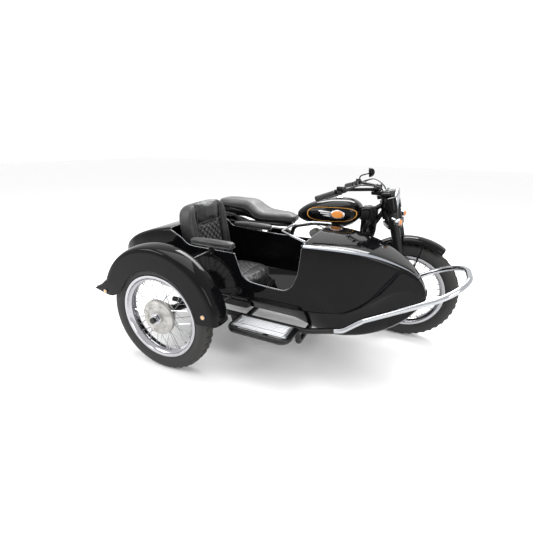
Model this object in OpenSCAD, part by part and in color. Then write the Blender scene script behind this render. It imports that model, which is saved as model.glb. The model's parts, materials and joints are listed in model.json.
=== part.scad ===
// Sidecar motorcycle: a classic single-cylinder motorcycle with a passenger sidecar on its right.
// Millimetres, +X forward, +Y left, +Z up. The outfit stands on its three wheels.

/* [Wheels] */
// Outer radius of the three tyres
tyre_r = 331; // [270:1:390]
// Width of a tyre's section
tyre_w = 100; // [70:1:110]
// Outer radius of the rim flanges
rim_r = 246; // [205:1:305]
// Distance between the front and rear axles
wheelbase = 1370; // [1150:1:1640]
// How far the sidecar wheel stands right of the motorcycle's centre plane
track = 1040; // [950:1:1250]
// How far the sidecar axle leads the rear axle
wheel_lead = 152; // [80:1:240]

/* [Steering] */
// Lean of the fork from vertical, degrees
rake = 15.5; // [13:0.5:28]
// Distance between the two fork legs' centre lines
fork_spacing = 210; // [195:1:240]
// Radius of the upper fork covers
cover_r = 30; // [24:0.5:36]
// Half the width of the handlebar
bar_half = 385; // [320:1:430]
// Radius of the handlebar tube
bar_r = 11; // [10:0.5:14]
// Radius of the headlamp shell
lamp_r = 80; // [66:1:96]

/* [Motorcycle] */
// Height of the top of the fuel tank
tank_top = 918; // [880:1:980]
// Half the width of the fuel tank
tank_half = 135; // [112:1:160]
// Height of the pillion part of the seat
seat_top = 858; // [830:1:900]
// Radius of the main frame tubes
frame_r = 16; // [12:0.5:20]
// Radius of the silencer
silencer_r = 42; // [34:1:50]

/* [Sidecar] */
// Width of the sidecar body
body_w = 550; // [500:1:640]
// Distance of the sidecar body's centre plane from the motorcycle's
body_y = 525; // [500:1:640]
// Wall thickness of the sidecar body panels
panel = 9; // [6:0.5:14]
// Height of the deck where it meets the cockpit
deck_z = 782; // [740:1:840]
// Length of the doorway along the rim
door_len = 390; // [320:1:440]
// Height of the bottom of the doorway
door_z = 520; // [500:1:580]
// Radius of the chrome bumper tube
bumper_r = 14; // [10:0.5:20]
// Width of the sidecar mudguard
guard_w = 140; // [125:1:165]

/* [Hidden] */
$fn = 48;
eps = 0.3;
wall = 4;
front_x = 20;
rear_x = front_x - wheelbase;
side_x = rear_x + wheel_lead;
axle_z = tyre_r;
axle_r = 10;
bore_r = 10.5;
half_w = body_w / 2;
wall_y = body_y + half_w;
belt_z = 425;
seat_z = 370;
belly_z = 212;
cockpit_front = -465;
cockpit_rear = -1300;
tail_x = -1790;
nose_x = 146;
rail_z = 300;
rail_out = wall_y - 10;
rail_in = body_y - half_w + 10;
rail_r = 16;
rail_end = -262;
rail_tip = 343;
cross_z = belly_z - rail_r - eps;
bumper_front = 315;
head_x = front_x - 45;
bar_z = 1000;
guard_x = side_x + 16;
guard_z = axle_z + 20;
guard_r = 405;
front_end = max(bumper_front + bumper_r, front_x + tyre_r);
rear_end = tail_x;
right_end = track + 86;
left_end = bar_half + 17;
shift_x = -(front_end + rear_end) / 2;
shift_y = (right_end - left_end) / 2;
rubber = [0.08, 0.08, 0.08];
black = [0.07, 0.07, 0.08];
satin = [0.14, 0.14, 0.15];
chrome = [0.8, 0.8, 0.82];
grey = [0.6, 0.6, 0.6];
leather = [0.1, 0.1, 0.1];
amber = [0.9, 0.45, 0.1];
glass = [0.85, 0.9, 0.95];

// ---------- helpers ----------

function unit(v) = v / norm(v);
function mid(a, b, t) = a + (b - a) * t;

// Straight rod between two points.
module rod(a, b, r) {
    d = b - a;
    L = norm(d);
    translate(a)
        rotate([0, acos(d[2] / L), atan2(d[1], d[0])])
            cylinder(h = L, r = r);
}

// Torus piece that turns from direction u to direction v inside the corner at p.
module elbow(p, u, v, bend, r) {
    turn = acos(u * v);
    cut = bend * tan(turn / 2);
    inward = unit(v - u * (u * v));
    c = p - u * cut + inward * bend;
    n = cross(-inward, u);
    multmatrix([[-inward[0], u[0], n[0], c[0]],
        [-inward[1], u[1], n[1], c[1]],
        [-inward[2], u[2], n[2], c[2]],
        [0, 0, 0, 1]])
        rotate_extrude(angle = turn)
            translate([bend, 0])
                circle(r);
}

// Length a corner's bend takes off each of its two legs.
function corner_cut(a, b, c, bend) = bend * tan(acos(unit(b - a) * unit(c - b)) / 2);

// Bend radius at corner i, from one number for all or a list.
function bend_of(bend, i) = is_list(bend) ? bend[i] : bend;

// Round tube along points with rounded corners; the bends are a hair thicker than the legs.
module pipe(pts, r, bend) {
    n = len(pts);
    lap = 1.2;
    for (i = [0:n - 2]) {
        u = unit(pts[i + 1] - pts[i]);
        before = i == 0 ? 0 : corner_cut(pts[i - 1], pts[i], pts[i + 1], bend_of(bend, i)) - lap;
        after = i == n - 2 ? 0
            : corner_cut(pts[i], pts[i + 1], pts[i + 2], bend_of(bend, i + 1)) - lap;
        rod(pts[i] + u * before, pts[i + 1] - u * after, r);
    }
    for (i = [1:1:n - 2])
        elbow(pts[i], unit(pts[i] - pts[i - 1]), unit(pts[i + 1] - pts[i]), bend_of(bend, i),
            r + 0.2);
}

// The same thing on both sides of the motorcycle's centre plane.
module both() {
    children();
    mirror([0, 1, 0]) children();
}

// Cylinder along Y centred on a point.
module across(p, r, h) {
    translate(p)
        rotate([90, 0, 0])
            cylinder(h = h, r = r, center = true);
}

// Box with rounded edges along Y, centred on a point.
module slab(p, size, r) {
    translate(p)
        rotate([90, 0, 0])
            linear_extrude(height = size[1], center = true)
                rounded(size[0], size[2], r);
}

module rounded(a, b, r) {
    union() {
        square([a - 2 * r, b], center = true);
        square([a, b - 2 * r], center = true);
        for (sx = [-1, 1], sy = [-1, 1])
            translate([sx * (a / 2 - r), sy * (b / 2 - r)])
                circle(r);
    }
}

// Steps for smooth curves through a table of [x, value] rows.
function look(table, x, i = 0) =
    i >= len(table) - 2 || x <= table[i + 1][0]
        ? ease(table, i, (x - table[i][0]) / (table[i + 1][0] - table[i][0]))
        : look(table, x, i + 1);
function slope(table, i) =
    i <= 0 || i >= len(table) - 1 ? end_slope(table, i)
        : (table[i + 1][1] - table[i - 1][1]) / (table[i + 1][0] - table[i - 1][0]);
function end_slope(table, i) =
    i <= 0 ? (table[1][1] - table[0][1]) / (table[1][0] - table[0][0])
        : (table[i][1] - table[i - 1][1]) / (table[i][0] - table[i - 1][0]);
function ease(table, i, t) =
    let (h = table[i + 1][0] - table[i][0], a = slope(table, i) * h, b = slope(table, i + 1) * h)
        (2 * t * t * t - 3 * t * t + 1) * table[i][1] + (t * t * t - 2 * t * t + t) * a
        + (-2 * t * t * t + 3 * t * t) * table[i + 1][1] + (t * t * t - t * t) * b;

// Closed skin over a list of sections, each the same number of points.
module skin(sections) {
    n = len(sections[0]);
    m = len(sections);
    pts = [for (s = sections) for (p = s) p];
    side = [for (j = [0:m - 2]) for (i = [0:n - 1])
        each [[j * n + i, j * n + (i + 1) % n, (j + 1) * n + (i + 1) % n],
            [j * n + i, (j + 1) * n + (i + 1) % n, (j + 1) * n + i]]];
    first = [for (i = [1:n - 2]) [0, i + 1, i]];
    last = [for (i = [1:n - 2]) [(m - 1) * n, (m - 1) * n + i, (m - 1) * n + i + 1]];
    polyhedron(points = pts, faces = concat(first, side, last), convexity = 6);
}

// ---------- sidecar body shape ----------

body_half = [[tail_x, 150], [-1740, 218], [-1640, 262], [-1560, half_w - 3], [-1500, half_w],
    [-1440, half_w], [-640, half_w], [-560, half_w], [-480, half_w - 3],
    [-330, half_w - 30], [-160, half_w - 88], [-20, half_w - 158], [90, half_w - 222],
    [nose_x, half_w - 252]];
body_roof = [[tail_x, 510], [-1760, 570], [-1700, 636], [-1600, 698], [-1500, 736],
    [-1400, 762], [-1300, 778], [-900, 790], [-465, deck_z], [-380, deck_z - 1],
    [-278, deck_z - 7], [-190, deck_z - 20], [-104, deck_z - 42], [13, deck_z - 94],
    [75, deck_z - 136], [120, deck_z - 194], [nose_x, deck_z - 246]];
body_belt = [[tail_x, 450], [-1640, 428], [-1400, belt_z], [-1300, belt_z], [-290, belt_z],
    [-226, belt_z + 4], [-125, belt_z + 56], [-21, belt_z + 118], [50, belt_z + 128],
    [110, belt_z + 112], [nose_x, belt_z + 100]];
body_keel = [[tail_x, 400], [-1700, 300], [-1560, 232], [-1400, belly_z], [-1300, belly_z],
    [-400, belly_z], [-340, belly_z], [-240, belly_z + 12], [-120, belly_z + 46],
    [-20, belly_z + 92], [60, belly_z + 152], [115, belly_z + 224], [nose_x, belly_z + 282]];

// Section of the body at x, shrunk inwards by t: a crowned roof, upright sides, sloped belly.
function body_section(x, t) =
    let (w = max(look(body_half, x) - t, 6),
        top = look(body_roof, x) - t,
        keel = look(body_keel, x) + t,
        belt = min(max(look(body_belt, x), keel + 10), top - 10),
        deep = belt - keel,
        round = min(26, w * 0.35, (top - belt) * 0.45),
        foot = w * 0.5,
        heel = min(20, foot * 0.4),
        crown = min(12, w * 0.05),
        right = [[w * 0.6, top + crown * 0.62], [w - round, top],
            [w - round * 0.3, top - round * 0.3], [w, top - round],
            [w, belt + (top - belt) * 0.3], [w, belt], [w - min(8, w * 0.05), belt - min(10, deep * 0.2)],
            [mid(w, foot, 0.6), mid(belt, keel, 0.6)], [foot, keel + min(14, deep * 0.2)],
            [foot - heel, keel], [foot * 0.4, keel]])
        concat([[x, -body_y, top + crown]],
            [for (p = right) [x, p[0] - body_y, p[1]]],
            [for (i = [len(right) - 1:-1:0]) [x, -right[i][0] - body_y, right[i][1]]]);

stations = [tail_x, -1775, -1750, -1715, -1670, -1610, -1540, -1460, -1380, -1300, -1250, -1100,
    -900, -700, -465, -400, -340, -280, -220, -160, -100, -50, 0, 45, 80, 108, 130, nose_x];

module body_skin(t) {
    inner = [for (x = stations) if (x > tail_x + t && x < nose_x - t) x];
    xs = t == 0 ? stations : concat([tail_x + t], inner, [nose_x - t]);
    skin([for (x = xs) body_section(x, t)]);
}

module body_shell() {
    difference() {
        body_skin(0);
        body_skin(panel);
    }
}

// Block between two stations, two heights and two distances from the body's centre plane.
module zone(x1, x2, z1, z2, y1, y2) {
    translate([x1, y1 - body_y, z1])
        cube([x2 - x1, y2 - y1, z2 - z1]);
}

// ---------- sidecar body panels ----------

module sidecar_floor() {
    bench = seat_z - eps;
    color(black) {
        intersection() {
            body_shell();
            zone(cockpit_rear + eps, cockpit_front - eps, 100, belt_z - eps, -400, 400);
        }
        intersection() {
            body_skin(panel / 2);
            union() {
                zone(-1270, -812, bench - panel, bench, -300, 300);
                zone(-812 - panel, -812, belly_z, bench - 1, -300, 300);
            }
        }
    }
}

module sidecar_nose() {
    color(black)
        difference() {
            intersection() {
                body_shell();
                zone(cockpit_front, 300, 100, 1000, -400, 400);
            }
            deck_cutter(0);
        }
}

// Upright block over the deck panel, its plan following the body's sides.
module deck_cutter(gap) {
    deck_xs = [-523, -437, -368, -312, -253, -188, -131, -74, -26, 12 + gap];
    edge = [for (x = deck_xs) [x, look(body_half, x) - 27 + gap]];
    translate([0, -body_y, belt_z + 150])
        linear_extrude(height = 400)
            polygon(concat([for (p = edge) p],
                [for (i = [len(edge) - 1:-1:0]) [edge[i][0], -edge[i][1]]]));
}

module sidecar_deck() {
    color(black)
        intersection() {
            body_shell();
            deck_cutter(-eps);
            zone(cockpit_front, 300, 100, 1000, -400, 400);
        }
}

// Upper edge line of a cockpit wall, as a block to keep what is below it.
module below_line(points) {
    translate([0, 400 - body_y, 0])
        rotate([90, 0, 0])
            linear_extrude(height = 800)
                polygon(concat([[points[0][0], 100]], points,
                    [[points[len(points) - 1][0], 100]]));
}

module sidecar_wall_right() {
    door_front = cockpit_front - 10;
    door_back = door_front - door_len;
    color(black)
        intersection() {
            body_shell();
            zone(cockpit_rear + eps, cockpit_front - eps, belt_z, 1000, -400, -half_w + 40);
            below_line([[cockpit_rear - 5, 764], [-1230, 728], [-1170, 690], [-1050, 684],
                [door_back - 10, 680], [door_back + 10, 668], [door_back + 42, door_z + 66],
                [door_back + 62, door_z + 30], [door_back + 100, door_z + 8],
                [door_back + 160, door_z], [door_front - 100, door_z - 6],
                [door_front - 62, door_z + 4], [door_front - 30, door_z + 34],
                [door_front - 8, door_z + 90], [door_front, door_z + 130],
                [cockpit_front, deck_z - 20]]);
        }
}

module sidecar_wall_left() {
    color(black)
        intersection() {
            body_shell();
            zone(cockpit_rear + eps, cockpit_front - eps, belt_z, 1000, half_w - 40, 400);
            below_line([[cockpit_rear - 5, 764], [-1230, 728], [-1170, 690], [-950, 676],
                [-620, 672], [-540, 690], [-490, 730], [cockpit_front, deck_z - 20]]);
        }
}

module sidecar_tail() {
    color(black)
        intersection() {
            body_shell();
            zone(tail_x - 10, cockpit_rear, 100, 1000, -400, 400);
        }
}

module coaming_rail() {
    z = deck_z + 20;
    reach = half_w - 30;
    x = cockpit_front + 10;
    foot_z = look(body_roof, x) + 1.2;
    color(chrome)
        translate([0, -body_y, 0]) {
            pipe([[x, -reach, z - 8], [-560, -reach * 0.75, z],
                [-650, -90, z - 6], [-650, 90, z - 6], [-560, reach * 0.75, z],
                [x, reach, z - 8]], 7, 50);
            for (s = [-1, 1])
                rod([x - 4, s * (reach - 1), z - 8], [x - 4, s * (reach - 1), foot_z], 6);
        }
}

// ---------- sidecar seat ----------

module sidecar_cushion() {
    rear = -1113.8;
    front = -800;
    color(leather)
        slab([(front + rear) / 2, -body_y, seat_z + 50], [front - rear, body_w - 110, 100], 34);
}

module sidecar_backrest() {
    tall = 478;
    wide = body_w - 130;
    color(leather)
        translate([-1112, -body_y, seat_z + 18])
            rotate([0, -10, 0])
                translate([-104, 0, 0])
                    rotate([90, 0, 90])
                        linear_extrude(height = 104)
                            union() {
                                translate([0, tall / 2])
                                    square([wide, tall], center = true);
                                translate([0, tall + 24])
                                    square([wide - 120, 72], center = true);
                                for (s = [-1, 1])
                                    translate([s * (wide / 2 - 60), tall])
                                        circle(60);
                            }
}

module armrests() {
    color(leather)
        for (s = [-1, 1])
            translate([0, -body_y, 0])
                slab([-1016, s * (half_w - 22), 718], [296, 64, 52], 24);
}

// ---------- sidecar wheel guard and chassis ----------

module sidecar_mudguard() {
    y0 = guard_w / 2;
    color(black)
        translate([guard_x, -track, guard_z])
            rotate([90, 0, 0]) {
                rotate([0, 0, 5])
                    rotate_extrude(angle = 152)
                        polygon([[270, y0 - 2], [guard_r - 26, y0], [guard_r - 12, y0 - 10],
                            [guard_r - 3, y0 - 34], [guard_r, 0], [guard_r - 4, -y0 + 36],
                            [guard_r - 20, -y0 + 10], [guard_r - 46, -y0],
                            [guard_r - 46, -y0 + wall], [guard_r - 23, -y0 + 13],
                            [guard_r - 9, -y0 + 38], [guard_r - wall - 1, 0],
                            [guard_r - 8, y0 - 37], [guard_r - 15, y0 - 14],
                            [guard_r - 26, y0 - wall - 1], [270, y0 - wall - 2]]);
                guard_tail(y0);
            }
    color(black)
        for (a = [18, 62, 128])
            rod([guard_x + 372 * cos(a), -track + y0 - 7, guard_z + 372 * sin(a)],
                [guard_x + 372 * cos(a), -wall_y - eps, guard_z + 372 * sin(a)], 8);
}

// Flared tail that carries the guard's line outwards behind the wheel.
tail_low_x = [[0, -248], [0.5, -330], [1, -452]];
tail_low_z = [[0, 105], [0.5, 62], [1, 84]];
module guard_tail(y0) {
    a = 157;
    p = [guard_r * cos(a), guard_r * sin(a)];
    skin([for (k = [6:-1:0])
        let (t = k / 6,
            q = p + [-92 * t, -92 * t + 26 * t * t],
            lx = look(tail_low_x, t),
            lz = look(tail_low_z, t))
            [[q[0] + 9, q[1] - 7, y0 - 10], [lx, lz, y0 - 10], [lx, lz, y0 - 4],
                [q[0] + 12, q[1] - 5, y0], [q[0] + 1, q[1] + 1, y0 - 12],
                [q[0], q[1], -y0 + 36], [q[0] + 4, q[1] + 1, -y0 + 6],
                [q[0] + 10, q[1] - 6, -y0 + 4]]]);
}

module marker_lamps() {
    y = -track - guard_w / 2 - 4 - eps;
    color(amber) {
        across([guard_x - 370, y + 1.4, guard_z + 84], 14, 8);
        across([guard_x + 318, y + 1.1, guard_z + 78], 14, 8);
    }
}

module sidecar_frame() {
    strut_x = -1135;
    color(satin)
        difference() {
            union() {
                for (y = [rail_out, rail_in])
                    pipe([[-1330, -y, rail_z], [-420, -y, rail_z], [rail_end, -y, rail_tip]],
                        rail_r, 60);
                for (x = [-470, -880]) {
                    pipe([[x, -rail_out, rail_z], [x, -rail_out + 34, cross_z],
                        [x, -55 - eps, cross_z]], rail_r, 30);
                    rod([x, -rail_in, rail_z], [x, -rail_in, cross_z], rail_r - 2);
                }
                pipe([[side_x, -rail_out, rail_z], [side_x, -rail_out + 34, cross_z],
                    [side_x, -rail_in - 34, cross_z], [side_x, -rail_in, rail_z]],
                    rail_r, 30);
                pipe([[strut_x, -rail_in, rail_z], [strut_x, -rail_in + 40, 430],
                    [strut_x, -108, 704]], 12, 40);
                pipe([[-420, -rail_in, rail_z], [-345, -rail_in + 60, 400],
                    [-300, 0, 636]], 12, 40);
            }
            seat_rail(-1, eps);
            seat_stay(-1, eps);
            down_tube(eps);
        }
}

module sidecar_axle() {
    color(satin) {
        difference() {
            rod([side_x, -rail_out, rail_z], [side_x, -track + 70, axle_z], 24);
            rod([-1340, -rail_out, rail_z], [-290, -rail_out, rail_z], rail_r + eps);
            zone(-1400, -1000, 100, 400, -half_w - 12, half_w);
        }
        across([side_x, -track + 20, axle_z], axle_r, 210);
        across([side_x, -track + 76, axle_z], 26, 28);
    }
    color(chrome)
        across([side_x, -track - 78, axle_z], 17, 16);
}

module footboard() {
    z = rail_z;
    out = 955;
    color(satin)
        pipe([[-470, -rail_out - rail_r - eps, z], [-470, -out, z], [-815, -out, z],
            [-815, -rail_out - rail_r - eps, z]], rail_r, 46);
    color(satin)
        rod([-600, -rail_out - rail_r - eps, z], [-600, -out + 4, z], rail_r - 2);
    color(grey)
        translate([-806, -out + 34, z + rail_r - 2])
            cube([330, out - wall_y - 48, 5]);
}

module bumper() {
    near = 750;
    far = 2 * body_y - near;
    u = unit([rail_end + 420, 0, rail_tip - rail_z]);
    start = [rail_end, 0, rail_tip] + u * eps;
    bend_at = start + u * 42;
    color(chrome)
        pipe([start + [0, -rail_out, 0], bend_at + [0, -rail_out, 0], [-130, -near, 416],
            [bumper_front, -near, 672], [bumper_front, -far, 672], [-130, -far, 416],
            bend_at + [0, -rail_in, 0], start + [0, -rail_in, 0]], bumper_r,
            [0, 60, 60, 190, 190, 60, 60]);
}

// ---------- motorcycle ----------

// A place along the steering axis at height z.
function axis_at(z) = [head_x - (z - axle_z) * tan(rake), 0, z];
// A place on a fork leg's centre line at height z.
function leg_at(z, s) = [front_x + 12 - (z - axle_z) * tan(rake), s * fork_spacing / 2, z];

module head_tube() {
    rod(axis_at(806), axis_at(926), 26);
}

// Down tube in front of the engine; more makes it fatter, to cut a joint.
module down_tube(more) {
    rod(axis_at(852) + [-14, 0, 0], [-404, 0, 440], frame_r + more);
}

// Straight part of the seat rail on one side.
module seat_rail(s, more) {
    rod([-930, s * 108, 703.7], [-1200, s * 108, 703.7], frame_r - 4 + more);
}

// Stay from the pivot up to the seat rail on one side.
module seat_stay(s, more) {
    rod([-892, s * 4, 400], [-1130, s * 108, 700], frame_r - 5 + more);
}

// Rising part of the seat rail on one side.
module tail_rail(s, more) {
    rod([-1262, s * 108, 743], [-1520, s * 104, 763], frame_r - 4 + more);
}

module main_frame() {
    color(satin)
        difference() {
            union() {
                head_tube();
                pipe([axis_at(896) + [-10, 0, 0], [-330, 0, 800], [-808, 0, 684],
                    [-892, 0, 330]], frame_r, 60);
                down_tube(0);
                pipe([[-403, 0, 446], [-404, 0, 200], [-900, 0, 200], [-900, 0, 330]],
                    frame_r, 50);
                both()
                    pipe([[-800, -4, 686], [-900, -108, 703.7], [-1200, -108, 703.7],
                        [-1262, -108, 743], [-1520, -104, 763], [-1560, -20, 764],
                        [-1560, 2, 764]], frame_r - 4, 30);
                seat_stay(-1, 0);
                seat_stay(1, 0);
                across([-900, 0, 330], 22, 187);
                for (x = [-470, -880])
                    across([x, 0, cross_z], 18, 110);
                for (x = [-520, -740])
                    slab([x, 0, 229], [40, 44, 29.4], 6);
                across([-360, 0, 792], 10, 67.4);
                across([-1390, 0, 722], 10, 230);
                both()
                    rod([-1390, -104, 722], [-1390, -104, 750], 9);
                across([-935, 0, 214], 6, 224);
                slab([-915, 0, 212], [60, 60, 32], 12);
            }
            rod(axis_at(790), axis_at(940), 14.5);
            across([-900, 0, 330], bore_r, 260);
        }
}

module swing_arm() {
    color(satin) {
        both() {
            rod([-900, -112, 330], [rear_x, -112, axle_z], 18);
            across([-900, -110, 330], 22, 28);
            across([rear_x, -112, axle_z], 24, 26);
        }
        across([-900, 0, 330], axle_r, 280);
        across([rear_x, 0, axle_z], axle_r, 270);
    }
}

module rear_shocks() {
    color(chrome)
        both() {
            rod([-1340, -141.2, axle_z + 14], [-1384, -141.2, 560], 12);
            for (i = [0:8])
                translate([-1351 - i * 4.6, -141.2, 405 + i * 21])
                    rotate([0, -12, 0])
                        cylinder(h = 11, r = 27, center = true);
            rod([-1380, -141.2, 560], [-1391, -141.2, 736], 26);
        }
}

module crankcase() {
    color(grey) {
        slab([-610, 0, 352], [330, 170, 216], 60);
        slab([-785, 0, 378], [116, 170, 180], 46);
        for (s = [-1, 1]) {
            across([-570, s * 105, 350], 98, 44);
            slab([-700, s * 102, 352], [230, 38, 130], 58);
            across([-800, s * 104, 372], 66, 36);
        }
        across([-570, -132, 350], 34, 16);
    }
}

module cylinder_fins(z1, z2, w, step) {
    n = floor((z2 - z1) / step);
    for (i = [0:n - 1])
        translate([0, 0, z1 + i * step])
            linear_extrude(height = 5)
                rounded(w, w, 24);
}

module cylinder_block() {
    color(grey)
        translate([-530, 0, 0]) {
            translate([0, 0, 460 + eps])
                cylinder(h = 230, r = 52);
            cylinder_fins(480, 600, 146, 15);
            cylinder_fins(612, 690, 158, 15);
            translate([-44, -54, 684])
                cube([88, 108, 14]);
            rod([0, 0, 640], [88, 0, 652], 24);
            rod([0, 0, 650], [-100, 0, 656], 26);
            across([-116, 0, 650], 32, 62);
        }
}

module exhaust() {
    color(chrome)
        difference() {
            union() {
                pipe([[-441.6, 0, 652.1], [-385, 0, 659.8], [-372, -104, 560],
                    [-425, -152, 290], [-640, -168, 262], [-880, -178, 258],
                    [-970, -184, 262]], 20, 42);
                rod([-900, -179, 259], [-980, -184, 263], 30);
                rod([-970, -184, 262], [-1480, -187, 288], silencer_r);
                rod([-1478, -187, 288], [-1560, -188, 292], 28);
            }
            rod([-1500, -187.2, 289], [-1570, -188.1, 292.5], 20);
        }
}

tank_half_t = [[-770, 56], [-740, 84], [-680, 112], [-560, tank_half], [-440, tank_half],
    [-370, 112], [-330, 72], [-312, 44]];
tank_roof_t = [[-770, 806], [-740, 836], [-680, 872], [-560, tank_top - 10],
    [-470, tank_top], [-390, tank_top - 4], [-335, tank_top - 32], [-312, tank_top - 72]];
tank_foot_t = [[-770, 768], [-740, 750], [-680, 732], [-560, 716], [-440, 722], [-370, 750],
    [-330, 790], [-312, 812]];

function tank_section(x) =
    let (w = look(tank_half_t, x), top = look(tank_roof_t, x), low = look(tank_foot_t, x),
        c = (top + low) / 2, h = (top - low) / 2)
        concat([for (a = [0:15:345])
            let (ca = cos(a), sa = sin(a))
                [x, w * sign(ca) * pow(abs(ca), 0.72), c + h * sign(sa) * pow(abs(sa), 0.8)]]);

module fuel_tank() {
    color(black)
        difference() {
            skin([for (x = [-770, -755, -735, -705, -660, -600, -540, -480, -430, -390, -360,
                -336, -320, -312])
                let (s = tank_section(x)) [for (i = [len(s) - 1:-1:0]) s[i]]]);
            translate([-800, -34, 600])
                cube([520, 68, 232]);
        }
    color(chrome)
        translate([-480, 0, tank_top - 12])
            cylinder(h = 22, r = 30);
}

module rider_seat() {
    color(leather) {
        hull() {
            translate([-860, 0, 716])
                cylinder(h = 62, r = 84);
            translate([-1040, 0, 716])
                cylinder(h = 66, r = 128);
        }
        hull() {
            translate([-1150, 0, 778])
                cylinder(h = 76, r = 104);
            translate([-1330, 0, 796])
                cylinder(h = seat_top - 800, r = 112);
        }
        hull() {
            translate([-1060, 0, 716])
                cylinder(h = 60, r = 100);
            translate([-1150, 0, 778])
                cylinder(h = 60, r = 100);
        }
    }
}

module side_boxes() {
    color(black)
        both() {
            slab([-985, -136, 520], [210, 44, 190], 50);
            difference() {
                rod([-1020, -62, 566], [-1020, -120, 566], 8);
                seat_stay(-1, eps);
            }
        }
}

module rear_mudguard() {
    color(black)
        translate([rear_x, 0, axle_z]) {
            rotate([90, 0, 0])
                rotate([0, 0, 38])
                    rotate_extrude(angle = 154)
                        polygon([[336, 70], [352, 70], [374, 46], [380, 0], [374, -46],
                            [352, -70], [336, -70], [336, -66], [350, -66], [370, -44],
                            [376, 0], [370, 44], [350, 66], [336, 66]]);
        }
    color(satin)
        both()
            difference() {
                union() {
                    rod([rear_x - 130, -66, axle_z + 338], [-1500, -104, 758], 7);
                    rod([rear_x - 12, -134, axle_z + 8], [rear_x - 330, -68, axle_z + 120],
                        6);
                }
                tail_rail(-1, eps);
                across([rear_x, 0, axle_z], axle_r + eps, 300);
            }
}

module rear_lamps() {
    difference() {
        union() {
            color(black) {
                slab([-1664, 0, 590], [104, 84, 62], 20);
                slab([-1690, 0, 526], [62, 30, 74], 6);
                slab([-1720, 0, 492], [4, 184, 128], 1.8);
            }
            color(chrome) {
                across([-1672, 0, 596], 7, 230);
                both()
                    translate([-1672, -134, 596])
                        sphere(24);
            }
        }
        across([rear_x, 0, axle_z], 380 + eps, 200);
    }
    color([0.7, 0.05, 0.05])
        translate([-1729 - eps, 0, 590])
            rotate([0, 90, 0])
                cylinder(h = 26, r = 34, center = true);
}

module chain_case() {
    color(black)
        difference() {
            union() {
                difference() {
                    slab([-1135, 78, 372], [400, 26, 66], 30);
                    slab([-1140, 75, 360], [420, 26, 60], 20);
                }
                rod([-1000, 80, 398], [-1000, 112, 340], 6);
            }
            rod([-900, 112, 330], [rear_x, 112, axle_z], 18 + eps);
        }
}

module footrests() {
    low = 200 - frame_r - 9 - eps;
    color(satin)
        across([-730, 0, low], 9, 330);
    color(rubber)
        both()
            across([-730, -205, low], 17, 110);
    color(rubber)
        both()
            difference() {
                union() {
                    across([-1010, -190, 334], 14, 76);
                    rod([-1010, -156, 334], [-965, -118, 332], 9);
                }
                rod([-900, -112, 330], [rear_x, -112, axle_z], 18 + eps);
                across([-900, 0, 330], 60, 200);
            }
}

module foot_controls() {
    color(chrome) {
        pipe([[-820, -frame_r - eps, 200], [-820, -206, 204], [-560, -212, 240]], 8, 26);
        rod([-560, -226, 240], [-560, -176, 240], 11);
        pipe([[-740, 121 + eps, 304], [-740, 168, 304], [-590, 172, 290]], 7, 20);
        rod([-590, 150, 290], [-590, 206, 290], 11);
    }
}

// ---------- steering ----------

module fork_legs() {
    for (s = [-1, 1]) {
        color(black)
            rod(leg_at(600, s), leg_at(868, s), cover_r);
        color(grey)
            rod(leg_at(axle_z - 16, s), leg_at(612, s), 25);
        color(grey)
            across([front_x + 2, s * (fork_spacing / 2), axle_z], 24, 44);
    }
    color(satin)
        across([front_x, 0, axle_z], axle_r, fork_spacing + 84);
}

module fork_yokes() {
    color(satin) {
        difference() {
            union() {
                hull() {
                    for (s = [-1, 1])
                        rod(leg_at(770, s), leg_at(796, s), cover_r + 10);
                    rod(axis_at(768), axis_at(794), 27);
                }
            }
            for (s = [-1, 1])
                rod(leg_at(700, s), leg_at(860, s), cover_r + eps);
        }
        rod(axis_at(780), axis_at(950), 14);
        rod(axis_at(938), axis_at(960), 40);
    }
}

module headlamp() {
    c = [-112, 0, 922];
    color(black)
        difference() {
            union() {
                translate(c + [-93, 0, 0])
                    rotate([0, 90, 0])
                        cylinder(h = 93, r = lamp_r);
                hull() {
                    for (s = [-1, 1])
                        rod(leg_at(868 + eps, s), leg_at(958, s), cover_r + 4);
                    translate([-176, 0, 966])
                        cube([60, 200, 30], center = true);
                }
                translate([-212, 0, 974])
                    slab([0, 0, 0], [110, 150, 28], 12);
            }
            rod(axis_at(700), axis_at(934), 48);
            rod(axis_at(700), axis_at(961), 40 + eps);
            translate([-320, -65, 800])
                cube([140, 130, 135]);
        }
    color(chrome)
        translate(c + [2, 0, 0])
            rotate([0, 90, 0])
                rotate_extrude()
                    translate([lamp_r - 1, 0])
                        circle(8);
    color(glass)
        translate(c + [0, 0, 0])
            rotate([0, 90, 0])
                cylinder(h = 14, r = lamp_r - 8);
}

// Centre line of the right half of the handlebar.
function bar_points() = [[-236, 0, bar_z], [-240, -92, bar_z], [-396, -236, bar_z + 4],
    [-528, -bar_half, bar_z - 42]];

module handlebar() {
    p = bar_points();
    color(chrome) {
        both()
            pipe(p, bar_r, 46);
        both()
            slab([-236, -44, bar_z + 2], [40, 26, 27], 12);
    }
}

module grips() {
    p = bar_points();
    u = unit(p[3] - p[2]);
    color(rubber)
        both()
            difference() {
                rod(p[3] - u * 118, p[3] + u * 6, 17);
                rod(p[3] - u * 122, p[3] + u * 3, bar_r + eps);
            }
}

module levers() {
    p = bar_points();
    u = unit(p[3] - p[2]);
    c = p[3] - u * 142;
    color(satin)
        both()
            difference() {
                union() {
                    rod(c - u * 24, c + u * 12, 20);
                    pipe([c + [10, -4, 0], c + [44, -16, 2], c + u * 128 + [40, -18, 0]],
                        6, 16);
                    rod(c + [10, 4, 10], c + [26, 14, 30], 9);
                }
                rod(c - u * 40, c + u * 160, bar_r + eps);
            }
}

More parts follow.
